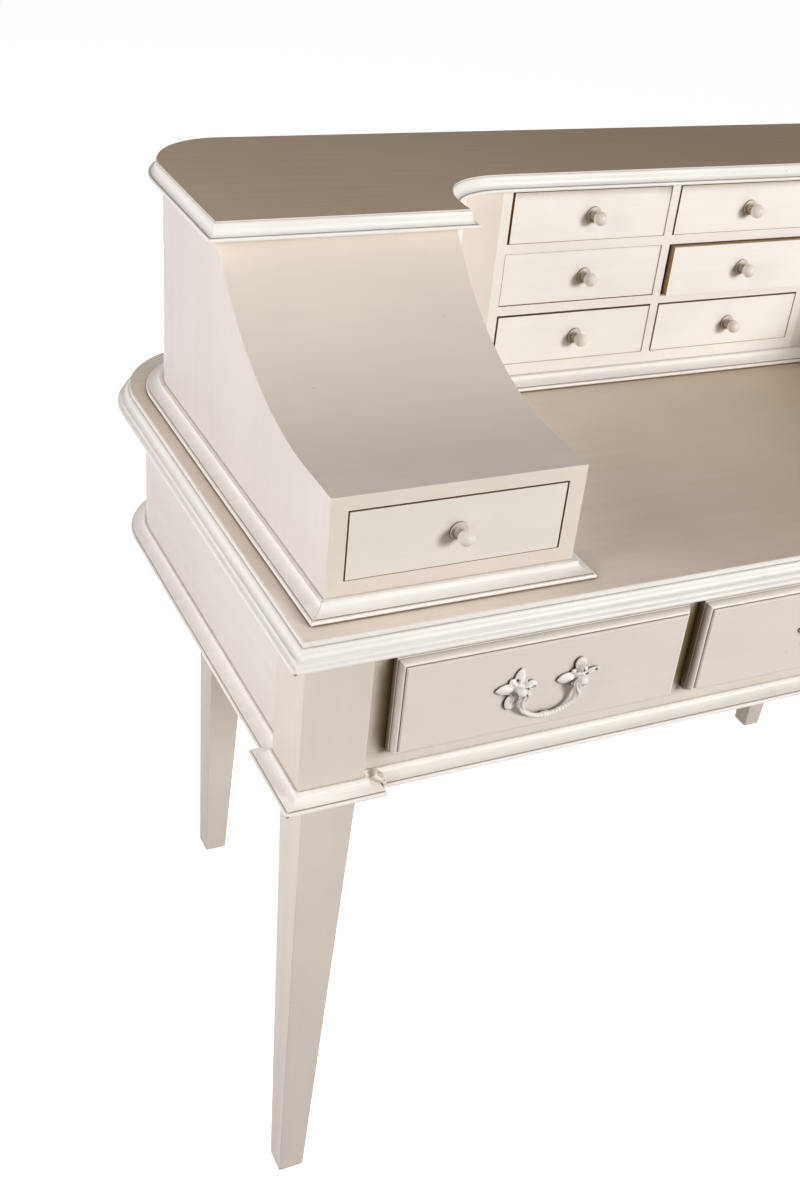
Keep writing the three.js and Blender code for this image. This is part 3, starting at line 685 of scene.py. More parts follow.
# The field, the moulded edge and the ends of a frieze drawer's front: the field with painted
# shadows to the left of and below its pull and darker towards the right, the edge paler as a
# painted highlight, the ends with painted shade
PAINT_FRIEZE = BrushedPaint(
    "brushed_oil_paint_frieze", "e7dfd9", painted_falloff=(1.06, 0.86),
    hollow=PaintedShade("5f4620", 1.0, 7.0, (0.42, 0.88), (0.7, 0.0, 0.5)),
)
PAINT_EDGE = BrushedPaint(
    "brushed_oil_paint_edge", "f4efea", painted_falloff=(1.04, 0.90),
    hollow=PaintedShade("846838", 0.9, 3.0, (0.40, 0.90)),
)
PAINT_FLANK = BrushedPaint(
    "brushed_oil_paint_flank", "efe9e3", grain=Grain.Z,
    hollow=PaintedShade("6a5318", 0.95, 26.0, (0.42, 0.88)),
)
# The frame behind the frieze drawers, with painted shadows cast by the drawer fronts on its faces
# beside them, above the lower rail
PAINT_RECESS = BrushedPaint(
    "brushed_oil_paint_recess", "e2dbd3",
    hollow=PaintedShade("5a440c", 1.0, 26.0, (0.52, 0.99), (1.1, 0.0, 0.0), above=606.0),
)
# The run mouldings and the boards' edges, painted paler as a painted highlight and darker towards
# the right, with painted shade in their hollows and three chips at their corners
PAINT_MOULD = BrushedPaint(
    "brushed_oil_paint_moulding", "f8f5f1", painted_falloff=(1.04, 0.94), speck="7a5a3c",
    hollow=PaintedShade("7c6236", 0.95, 3.2, (0.36, 0.86)),
    chips=((-627.6, -17.6, 737.6), (-626.4, -16.6, 577.6), (-627.0, 66.0, 583.0)),
)
# The bank's frame and the walls of the niche, painted paler as painted light where they get the
# most light
PAINT_NICHE = BrushedPaint("brushed_oil_paint_niche", "f7f3ee", "ebe2d9")
PAINT_INSIDE = BrushedPaint("brushed_oil_paint_niche_wall", "fcf9f5", "efe7df", grain=Grain.Z)
# The upper faces, painted tan and darker as painted shade; the desk top also darker towards its
# right end and with wide painted shade by the walls
PAINT_SLAB = BrushedPaint(
    "shaded_oil_paint_slab", "dcc7af", "cab69b", stroke_strength=0.4, painted_falloff=(1.02, 0.84),
)
PAINT_TOP = BrushedPaint(
    "shaded_oil_paint_top", "fdf1e4", "cdbba4", far="a58e70", far_range=(-0.45, 0.42),
    stroke_strength=0.18, hollow=PaintedShade("7c6640", 0.75, 34.0, (0.50, 0.97)),
)
# Cast pulls and turned knobs, dipped in enamel, with painted shade in their hollows and painted
# shadows to the left and below
PAINT_CASTING = BrushedPaint(
    "dipped_enamel_casting", "fbf8f4", roughness=0.34, bump=0.04,
    hollow=PaintedShade("4a360e", 1.0, 3.8, (0.42, 0.80), (0.35, 0.0, 0.3)),
)
PAINT_KNOB = BrushedPaint(
    "dipped_enamel_knob", "f6f1ea", roughness=0.34, bump=0.04,
    hollow=PaintedShade("75581f", 1.0, 14.0, (0.48, 0.95), (0.5, 0.0, 0.35)),
)
PUTTY = BrushedPaint(
    "linseed_putty_dabs", "efe9df", "cdb08c", stroke_strength=0.7, roughness=0.6,
)
# Planed softwood, its sawn end grain, and the stained edges round the drawers
WOOD_ACROSS = BareWood("planed_softwood_across")
WOOD_DEEP = BareWood("planed_softwood_deep", grain=Grain.Y)
WOOD_END = BareWood(
    "sawn_softwood_end_grain", "b8935a", "94733f", "7d5e2c", grain=Grain.Z, roughness=0.8,
)
WOOD_REVEAL = BareWood("stained_softwood_reveal", "dcb066", "b68c48", "8a6830")


# Meshes and pieces


class Slot(Enum):
    """The material slots of the finishes."""

    WOOD = "painted_wood"
    DRAWER = "painted_drawer"
    INSIDE = "inside_wood"
    CASTING = "painted_casting"


def put(name: str, data: bpy.types.ID) -> bpy.types.Object:
    """A new object in the scene.

    Args:
        name: Its name.
        data: Its data.

    Returns:
        The object.
    """
    made = bpy.data.objects.new(name, data)
    bpy.context.scene.collection.objects.link(made)
    return made


def cleaned(mesh: Mesh, weld: float = 0.0, flatten: float = 0.0) -> Mesh:
    """Turns a mesh's faces outwards and smooths them.

    Args:
        mesh: The mesh.
        weld: The distance under which its points are merged, in millimetres.
        flatten: The angle under which its faces are joined, in degrees.

    Returns:
        The mesh.
    """
    work = bmesh.new()
    work.from_mesh(mesh)
    if weld:
        bmesh.ops.remove_doubles(work, verts=work.verts, dist=weld * MM)
    if flatten:
        bmesh.ops.dissolve_limit(
            work, angle_limit=math.radians(flatten), verts=work.verts, edges=work.edges,
        )
    bmesh.ops.recalc_face_normals(work, faces=work.faces)
    for face in work.faces:
        face.smooth = True
    work.to_mesh(mesh)
    work.free()
    return mesh


def new_mesh(name: str, shell: Shell) -> Mesh:
    """A mesh from a skin in millimetres, its faces turned outwards.

    Args:
        name: Its name.
        shell: The skin.

    Returns:
        The mesh.
    """
    mesh = bpy.data.meshes.new(name)
    mesh.from_pydata([to_row(point) for point in shell[0]], [], shell[1])
    return cleaned(mesh)


def paint_faces(
    mesh: Mesh, finishes: list[Finish], choose: Callable[[bpy.types.MeshPolygon], int],
) -> Mesh:
    """Adds finishes to a mesh and gives each face its own.

    Args:
        mesh: The mesh.
        finishes: The finishes, after those that it has.
        choose: Gives the number of a face's finish.

    Returns:
        The mesh.
    """
    for finish in finishes:
        mesh.materials.append(finish.material())
    for face in mesh.polygons:
        face.material_index = choose(face)
    return mesh


def jointed(name: str, boards: list[tuple[Shell, Finish]]) -> Mesh:
    """A mesh of several boards, the sawn ends of those across in end grain.

    Args:
        name: Its name.
        boards: The boards' skins and finishes.

    Returns:
        The mesh.
    """
    across, deep, end = range(3)
    finishes = [WOOD_ACROSS, WOOD_DEEP, WOOD_END]
    numbers = [across if own is WOOD_ACROSS else deep for shell, own in boards for _ in shell[1]]
    return paint_faces(
        new_mesh(name, merge(*(shell for shell, _ in boards))), finishes,
        lambda face: end if numbers[face.index] == across and abs(face.normal.x) > 0.9
        else numbers[face.index],
    )


def two_toned(name: str, shell: Shell, top: Finish) -> Mesh:
    """A moulded board whose upper face has its own paint.

    Args:
        name: Its name.
        shell: Its skin.
        top: The paint of its upper face.

    Returns:
        The mesh.
    """
    mesh = new_mesh(name, shell)
    level = max(vertex.co.z for vertex in mesh.vertices) - NEAR
    return paint_faces(mesh, [PAINT_MOULD, top], lambda face: int(face.center.z > level))


def stain_openings(mesh: Mesh, x: Pair, y: Pair, z: Pair) -> Mesh:
    """Stains the faces inside a frame's openings.

    Args:
        mesh: The frame.
        x: The frame's sides, without its own outer faces.
        y: Its depth.
        z: Its levels, without its own outer faces.

    Returns:
        The frame.
    """
    low, high = to_row((x[0], y[0], z[0])), to_row((x[1], y[1], z[1]))
    stained = len(mesh.materials)

    def choose(face: bpy.types.MeshPolygon) -> int:
        """The stain inside the openings, and else the paint that is there."""
        inside = all(low[i] < face.center[i] < high[i] for i in range(3))
        return stained if inside and abs(face.normal.y) < 0.5 else face.material_index

    return paint_faces(mesh, [WOOD_REVEAL], choose)


@dataclass
class Piece:
    """One finished piece of the desk.

    Attributes:
        name: Its name.
        shape: Its skin, or its mesh, in place.
        nodes: The CAD nodes that it stands for.
        finish: Its finish, or nothing if its mesh already has one.
        body: The body that it rides on.
        slot: The material slot of its finish; not used.
        bevel: The width of its rounded edges, in millimetres, or nothing.
    """

    name: str
    shape: Shell | Mesh
    nodes: tuple[str, ...] = ()
    finish: Finish | None = None
    body: str = "desk"
    slot: Slot = Slot.WOOD
    bevel: float = 0.3

    def place(self) -> None:
        """Puts the piece in the scene."""
        is_mesh = isinstance(self.shape, Mesh)
        made = put(self.name, self.shape if is_mesh else new_mesh(self.name, self.shape))
        if self.finish:
            made.data.materials.append(self.finish.material())
        if self.bevel:
            rounding = made.modifiers.new("rounded_edges", "BEVEL")
            rounding.width = self.bevel * MM
            rounding.segments = 2
            rounding.limit_method = "ANGLE"
            rounding.angle_limit = SHARP
            rounding.miter_outer = "MITER_ARC"
            made.modifiers.new("even_shading", "WEIGHTED_NORMAL").mode = "FACE_AREA"
        if self.nodes:
            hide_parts(*self.nodes)
        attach(made, self.body)
        LOG.info("%s rides on %s, %d faces", self.name, self.body, len(made.data.polygons))


def realised(maker: bpy.types.Object, name: str) -> Mesh:
    """The result of an object's modifiers as a plain mesh.

    Args:
        maker: The object. It is removed.
        name: The name of the mesh.

    Returns:
        The mesh.
    """
    depsgraph = bpy.context.evaluated_depsgraph_get()
    mesh = bpy.data.meshes.new_from_object(maker.evaluated_get(depsgraph), depsgraph=depsgraph)
    mesh.name = name
    bpy.data.objects.remove(maker, do_unlink=True)
    return mesh


def united(name: str, shells: list[Shell]) -> Mesh:
    """Overlapping skins as one closed skin.

    Args:
        name: The name of the mesh.
        shells: The skins.

    Returns:
        The mesh.
    """
    first, *others = [put(f"{name}_part", new_mesh(f"{name}_part", s)) for s in shells]
    for other in others:
        join = first.modifiers.new("join", "BOOLEAN")
        join.operation, join.solver, join.object = "UNION", "EXACT", other
    mesh = realised(first, name)
    for other in others:
        bpy.data.objects.remove(other, do_unlink=True)
    return cleaned(mesh, weld=0.01, flatten=0.2)


def line_mesh(
    name: str, points: list[Vector], closed: bool = False, **vectors: list[Place],
) -> Mesh:
    """A mesh of points joined in a row.

    Args:
        name: Its name.
        points: Its points, in metres.
        closed: Whether the last point joins the first.
        vectors: Named vectors at the points.

    Returns:
        The mesh.
    """
    mesh = bpy.data.meshes.new(name)
    count = len(points)
    joins = [(i, (i + 1) % count) for i in range(count if closed else count - 1)]
    mesh.from_pydata(points, joins, [])
    for label, values in vectors.items():
        own = mesh.attributes.new(label, "FLOAT_VECTOR", "POINT")
        for i, value in enumerate(values):
            own.data[i].vector = value
    return mesh


@dataclass(frozen=True)
class Grower:
    """A geometry tree that makes a mesh from a line, and is made once.

    Attributes:
        name: Its name.
        inputs: The kinds of its own inputs, by their names.
        grow: Adds its nodes, and gives the geometry.
        spare: The attributes that are removed afterwards.
    """

    name: str
    inputs: dict[str, str]
    grow: Callable[[Graph, Sockets], Socket]
    spare: tuple[str, ...]

    def tree(self) -> bpy.types.NodeTree:
        """The geometry tree.

        Returns:
            The tree.
        """
        tree = bpy.data.node_groups.get(self.name)
        if not tree:
            tree = bpy.data.node_groups.new(self.name, "GeometryNodeTree")
            for label, kind in {"Geometry": "Geometry", **self.inputs}.items():
                tree.interface.new_socket(label, in_out="INPUT", socket_type=f"NodeSocket{kind}")
            tree.interface.new_socket("Geometry", in_out="OUTPUT", socket_type="NodeSocketGeometry")
            graph = Graph(tree)
            given = graph.add("NodeGroupInput")
            plain = graph.add("GeometryNodeRealizeInstances", {0: self.grow(graph, given)})[0]
            painted = {"Geometry": plain, "Material": given["Finish"]}
            painted = graph.add("GeometryNodeSetMaterial", painted)[0]
            graph.add("NodeGroupOutput", {0: painted})
        return tree

    def mesh(self, name: str, line: Mesh, values: dict, weld: float = 0.0) -> Mesh:
        """What the tree makes of a line.

        Args:
            name: The name of the mesh.
            line: The line.
            values: The values of the tree's inputs, by their names.
            weld: The distance under which the mesh's points are merged, in millimetres.

        Returns:
            The mesh.
        """
        maker = put(f"{name}_line", line)
        modifier = maker.modifiers.new("grow", "NODES")
        modifier.node_group = self.tree()
        for item in modifier.node_group.interface.items_tree:
            if item.in_out == "INPUT" and item.name in values:
                modifier[item.identifier] = values[item.name]
        mesh = realised(maker, name)
        for label in self.spare:
            if label in mesh.attributes:
                mesh.attributes.remove(mesh.attributes[label])
        return cleaned(mesh, weld)


@dataclass(frozen=True)
class StripMoulding:
    """A run moulding: a bead below, a hollow, and a ledge on top.

    Attributes:
        level: The level of its underside.
        reach: How far it stands out from the face behind it.
        ledge: The width of its ledge.
        height: Its height.
        bead: The height of its bead.
        gap: How far it stays off the face behind it.
    """

    level: float
    reach: float
    ledge: float
    height: float = 14.0
    bead: float = 4.5
    gap: float = 0.05

    def section(self) -> list[Pair]:
        """Its closed section, as pairs of reach and height above its underside.

        Returns:
            The section.
        """
        nose = self.bead / 3
        neck = self.bead + nose
        lip = self.height - self.bead / 2
        run = self.reach - self.bead / 2 - self.ledge
        return [
            (self.gap, 0.0),
            *half_bead(self.reach - nose, 0.0, self.bead, nose),
            (self.ledge + run - 0.9, self.bead + 0.2),
            *[(self.ledge + run * (1 - math.cos(t)), lip - (lip - neck) * math.sin(t))
              for t in turns(QUARTER, 0.0, 12)],
            (self.ledge, self.height),
            (self.gap, self.height),
        ]

    @staticmethod
    def grow(graph: Graph, given: Sockets) -> Socket:
        """Carries the section along a path, square to it at every corner.

        Args:
            graph: The geometry tree.
            given: Its inputs.

        Returns:
            The moulding.
        """
        path = graph.add("GeometryNodeMeshToCurve", {"Mesh": given["Geometry"]})[0]
        section = graph.add("GeometryNodeObjectInfo", {"Object": given["Section"]})["Geometry"]
        edge = graph.add("GeometryNodeMeshToCurve", {"Mesh": section})[0]
        swept = {"Curve": path, "Profile Curve": edge, "Fill Caps": True}
        swept = graph.add("GeometryNodeCurveToMesh", swept)[0]
        outward, start, share = (
            graph.add("GeometryNodeInputNamedAttribute", (label,), data_type="FLOAT_VECTOR")[0]
            for label in ("outward", "start", "share")
        )
        out, up, _ = graph.add("ShaderNodeSeparateXYZ", (share,))
        out = graph.add("ShaderNodeMath", (out, given["Reach"]), operation="MULTIPLY")[0]
        step = graph.add("ShaderNodeVectorMath", {0: outward, "Scale": out}, operation="SCALE")[0]
        rise = (up, given["Height"], given["Level"])
        rise = graph.add("ShaderNodeMath", rise, operation="MULTIPLY_ADD")[0]
        lift = graph.add("ShaderNodeCombineXYZ", {2: rise})[0]
        place = start
        for part in (step, lift):
            place = graph.add("ShaderNodeVectorMath", (place, part), operation="ADD")[0]
        return graph.add("GeometryNodeSetPosition", {"Geometry": swept, "Position": place})[0]

    def mesh(self, name: str, line_at: Line) -> Mesh:
        """Runs the moulding along a plan line.

        Args:
            name: The name of the mesh.
            line_at: Gives the plan line moved outwards by a reach.

        Returns:
            The mesh.
        """
        near, far = line_at(0.0), line_at(1.0)
        starts = [to_row((x, y, 0.0)) for x, y in near]
        outward = [(b[0] - a[0], b[1] - a[1], 0.0) for a, b in zip(near, far)]
        section = self.section()
        edge = put(f"{name}_section", line_mesh(
            f"{name}_section", [(reach * MM, height * MM, 0.0) for reach, height in section],
            closed=True, share=[(r / self.reach, h / self.height, 0.0) for r, h in section],
        ))
        mesh = RUN_MOULDING.mesh(
            name, line_mesh(f"{name}_path", starts, outward=outward, start=starts),
            {"Section": edge, "Reach": self.reach * MM, "Height": self.height * MM,
             "Level": self.level * MM, "Finish": PAINT_MOULD.material()}, weld=0.002,
        )
        bpy.data.objects.remove(edge, do_unlink=True)
        return mesh

    def build(self, lines: dict[str, Line]) -> None:
        """Runs the moulding along plan lines.

        Args:
            lines: The lines by the CAD nodes that they stand for.
        """
        for node, line_at in lines.items():
            name = f"{node}_run"
            Piece(name, self.mesh(name, line_at), (node,), bevel=0.2).place()


RUN_MOULDING = Grower(
    "run_moulding",
    {"Section": "Object", "Reach": "Float", "Height": "Float", "Level": "Float",
     "Finish": "Material"},
    StripMoulding.grow, ("outward", "start", "share"),
)


# Plan lines


@dataclass(frozen=True)
class DeskPlan:
    """The desk's plan lines, each of which can be moved outwards by a reach."""

    width: float = 1220.0
    depth: float = 612.0
    corner: float = 115.0
    wall_side: float = 582.0
    wall_back: float = 570.0
    wall_corner: float = 85.0
    wing_inside: float = 330.0
    wing_front: float = 34.0
    niche_reach: float = 104.0
    niche_depth: float = 100.0
    niche_power: float = 2.5
    bank_front: float = 426.0
    slab_front: float = 325.0
    corner_steps: int = 28
    niche_steps: int = 44

    def table_turn(self, reach: float) -> list[Pair]:
        """The right rear corner of the table."""
        centre = (self.width / 2 - self.corner, self.depth - self.corner)
        return arc(centre, self.corner + reach, 0, 90, self.corner_steps)

    def wall_turn(self, reach: float) -> list[Pair]:
        """The right rear corner of the superstructure's walls."""
        centre = (self.wall_side - self.wall_corner, self.wall_back - self.wall_corner)
        return arc(centre, self.wall_corner + reach, 0, 90, self.corner_steps)

    def desk(self, reach: float) -> list[Pair]:
        """The outline of the table."""
        return both_sides([(self.width / 2 + reach, -reach), *self.table_turn(reach)])

    def niche(self, reach: float) -> list[Pair]:
        """The curved wall from a wing's inner side to the bank.

        Args:
            reach: How far the line is moved into the bay.

        Returns:
            The points on the left side, from the front to the bank.
        """
        points = []
        power = self.niche_power
        for turn in turns(0.0, QUARTER, self.niche_steps):
            across = max(math.cos(turn), 0.0) ** (2 / power)
            deep = math.sin(turn) ** (2 / power)
            normal = Vector((
                across ** (power - 1) / self.niche_reach, -(deep ** (power - 1)) / self.niche_depth,
            )).normalized()
            x = -self.wing_inside + self.niche_reach * (1 - across) + reach * normal.x
            y = self.bank_front - self.niche_depth * (1 - deep) + reach * normal.y
            points.append((x, y))
        return points

    def inner(self, front: float, reach: float) -> list[Pair]:
        """The line along both wings' inner sides and the niche."""
        return both_sides([(-self.wing_inside + reach, front - reach), *self.niche(reach)])

    def outer(self, front: float, reach: float) -> list[Pair]:
        """The line along the outer walls and the back."""
        return both_sides([(self.wall_side + reach, front - reach), *self.wall_turn(reach)])

    def slab(self, reach: float) -> list[Pair]:
        """The outline of the superstructure's top."""
        return [*self.inner(self.slab_front, reach), *self.outer(self.slab_front, reach)]


PLAN = DeskPlan()


# Sub-assemblies


@dataclass
class Knob:
    """A turned wooden knob: a flange, a flared neck with a ring, and a ball."""

    flange: float = 9.0
    edge: float = 2.0
    flare: float = 6.0
    neck: float = 3.8
    ring: float = 5.0
    ring_width: float = 2.0
    ball: float = 7.8
    reach: float = 22.5

    def profile(self) -> list[Pair]:
        """Pairs of radius and distance to the front, from the flange to the ball.

        Returns:
            The profile.
        """
        centre = self.reach - self.ball
        half_edge = self.edge * 0.5
        foot = self.edge + 0.3
        ring_end = centre - math.sqrt(self.ball ** 2 - self.neck ** 2)
        ring_start = ring_end - self.ring_width
        swell, rise = self.flare - self.neck, self.ring - self.neck
        return [
            (self.flange, 0.0),
            *[(self.flange - half_edge + half_edge * math.cos(t), half_edge * (1 + math.sin(t)))
              for t in (0.0, 0.5, 1.0, QUARTER)],
            (self.flare + 0.5, self.edge),
            (self.flare + 0.2, foot),
            *[(self.neck + swell * (1 - math.sin(t)), foot + (ring_start - foot) * t / QUARTER)
              for t in turns(0.0, QUARTER, 8)],
            *[(self.neck + rise * math.sin(t), ring_start + self.ring_width * t / math.pi)
              for t in turns(0.0, math.pi, 8)[1:]],
            *[(self.ball * math.sin(t), centre - self.ball * math.cos(t))
              for t in turns(math.asin(self.neck / self.ball), math.pi, 20)[1:-1]],
            (0.35, self.reach),
        ]

    def build(self, name: str, body: str, centre: Place) -> None:
        """Builds and dresses a knob.

        Args:
            name: Its CAD node.
            body: The body that it rides on.
            centre: Where its axis meets the drawer front.
        """
        shell = revolve(self.profile(), centre)
        Piece(f"{name}_turned", shell, (name,), PAINT_KNOB, body, Slot.CASTING, bevel=0).place()


@dataclass(frozen=True)
class Lobe:
    """One lobe of a leaf plate.

    Attributes:
        turn: Its direction in degrees, from the right and anticlockwise.
        reach: How far its tip lies from the post.
        width: Half its width, in degrees.
        blunt: From 0, a point, to 1, a round end.
        veins: How many veins it has on each side of its rib.
    """

    turn: float
    reach: float
    width: float
    blunt: float
    veins: int = 2


@dataclass(frozen=True)
class LeafPlate:
    """A cast leaf plate with its post.

    Attributes:
        lobes: Its lobes.
        pits: Its sunk dots, as X, Z and radius from the post.
        valley: Its reach between two lobes.
        rim: Its thickness at the edge.
        undercut: The size of its back, as a share of its face.
        dome: How much thicker it is at the post.
        ridge: The height of a pointed lobe's rib.
        sides: How many points each of its rings has.
        rings: How many rings it has.
        post: The post's profile, as pairs of radius and distance to the front.
    """

    lobes: tuple[Lobe, ...]
    pits: tuple[Place, ...]
    valley: float = 8.0
    rim: float = 2.5
    undercut: float = 0.93
    dome: float = 1.7
    ridge: float = 2.0
    sides: int = 120
    rings: int = 18
    post: tuple[Pair, ...] = (
        (6.4, 0.0), (6.3, 3.4), (5.3, 4.4), (4.1, 5.0), (3.5, 6.4), (3.7, 7.4), (4.3, 8.2),
        (4.6, 9.6), (4.5, 11.2), (4.0, 12.6), (3.0, 13.6), (1.6, 14.1), (0.5, 14.2),
    )

    def edge_at(self, turn: float) -> tuple[float, float, Lobe | None]:
        """The leaf's reach in a direction.

        Args:
            turn: The direction, in degrees.

        Returns:
            The reach, the place across the lobe from -1 to 1, and the lobe.
        """
        best: tuple[float, float, Lobe | None] = (self.valley, 0.0, None)
        for lobe in self.lobes:
            across = ((turn - lobe.turn + 180) % 360 - 180) / lobe.width
            if abs(across) >= 1:
                continue
            point = (1 - abs(across)) ** 0.9
            shape = point * (1 - lobe.blunt) + math.sqrt(1 - across ** 2) * lobe.blunt
            reach = self.valley + (lobe.reach - self.valley) * shape
            if reach > best[0]:
                best = (reach, across, lobe)
        return best

    def height(self, x: float, z: float, share: float, across: float, lobe: Lobe | None) -> float:
        """The leaf's height above the drawer front.

        Args:
            x: The place across, from the post.
            z: The place up, from the post.
            share: The place from the post to the edge, from 0 to 1.
            across: The place across the lobe, from -1 to 1.
            lobe: The lobe.

        Returns:
            The height.
        """
        level = self.rim + self.dome * (1 - share ** 2.4)
        body = share * (1 - share) * 4
        if lobe and lobe.blunt < 0.4:
            # A rib along the middle, and a groove on each side of it
            level += self.ridge * (1 - abs(across)) * (1 - share ** 3) * min(1.0, share * 2.2) - 0.5
            level -= 0.7 * body * math.exp(-((abs(across) - 0.55) / 0.13) ** 2)
        elif lobe:
            # Veins, and a raised border near the edge
            level += 0.8 * body * math.cos(lobe.veins * 2 * math.pi * across)
            level += 0.7 * math.exp(-((share - 0.84) / 0.1) ** 2) - 0.5 * body * across ** 2
        for pit_x, pit_z, radius in self.pits:
            # A pit with a raised lip
            far = ((x - pit_x) ** 2 + (z - pit_z) ** 2) / radius ** 2
            level -= 3.4 * math.exp(-far ** 2)
            level += 0.9 * math.exp(-((math.sqrt(far) - 1.5) / 0.4) ** 2)
        return max(level, 0.3)

    def shell(self, centre: Place) -> Shell:
        """The plate and its post.

        Args:
            centre: Where the post's axis meets the drawer front.

        Returns:
            The skin.
        """
        x0, y0, z0 = centre
        back = y0 - 0.02
        angles = [360 * i / self.sides for i in range(self.sides)]
        edges = [self.edge_at(angle) for angle in angles]
        rings: list[Ring] = []
        for k in range(1, self.rings + 1):
            share = k / self.rings
            ring = []
            for angle, (reach, across, lobe) in zip(angles, edges):
                x = reach * share * math.cos(math.radians(angle))
                z = reach * share * math.sin(math.radians(angle))
                ring.append((x0 + x, y0 - self.height(x, z, share, across, lobe), z0 + z))
            rings.append(ring)
        rings.append([
            (x0 + (x - x0) * self.undercut, back, z0 + (z - z0) * self.undercut)
            for x, _, z in rings[-1]
        ])
        points, faces = loft(rings, capped=False)
        last, face_tip = len(points) - self.sides, len(points)
        points.extend([(x0, y0 - self.rim - self.dome, z0), (x0, back, z0)])
        for j in range(self.sides):
            ahead = (j + 1) % self.sides
            faces.append((j, ahead, face_tip))
            faces.append((last + j, last + ahead, face_tip + 1))
        return merge((points, faces), revolve(list(self.post), centre, 32))


LEFT_LEAF = LeafPlate(
    lobes=(
        Lobe(180, 25.2, 34, 0.1), Lobe(133, 14.5, 34, 0.35, 1), Lobe(86, 22.6, 36, 0.12),
        Lobe(46, 12.0, 24, 0.8, 1), Lobe(2, 20.6, 25, 0.9, 1), Lobe(250, 25.6, 29, 0.9, 3),
        Lobe(217, 12.5, 20, 0.7, 1), Lobe(305, 11.5, 26, 0.8, 1),
    ),
    pits=(
        (8.8, -2.6, 2.0), (16.0, -1.4, 1.9), (9.6, 7.0, 1.5), (-9.6, -6.6, 1.4), (-2.6, 9.6, 1.2),
    ),
)
RIGHT_LEAF = LeafPlate(
    lobes=(
        Lobe(182, 25.0, 32, 0.3), Lobe(138, 12.0, 26, 0.7, 1), Lobe(91, 22.0, 27, 0.92, 3),
        Lobe(52, 12.0, 24, 0.8, 1), Lobe(12, 24.0, 17, 0.6, 1), Lobe(334, 12.0, 26, 0.8, 1),
        Lobe(292, 19.0, 30, 0.85, 1), Lobe(232, 11.5, 26, 0.7, 1),
    ),
    pits=((18.4, 4.2, 1.6), (6.6, -11.4, 1.6), (3.4, 5.4, 1.5), (7.6, 2.0, 1.5), (-8.6, -3.6, 2.0)),
)


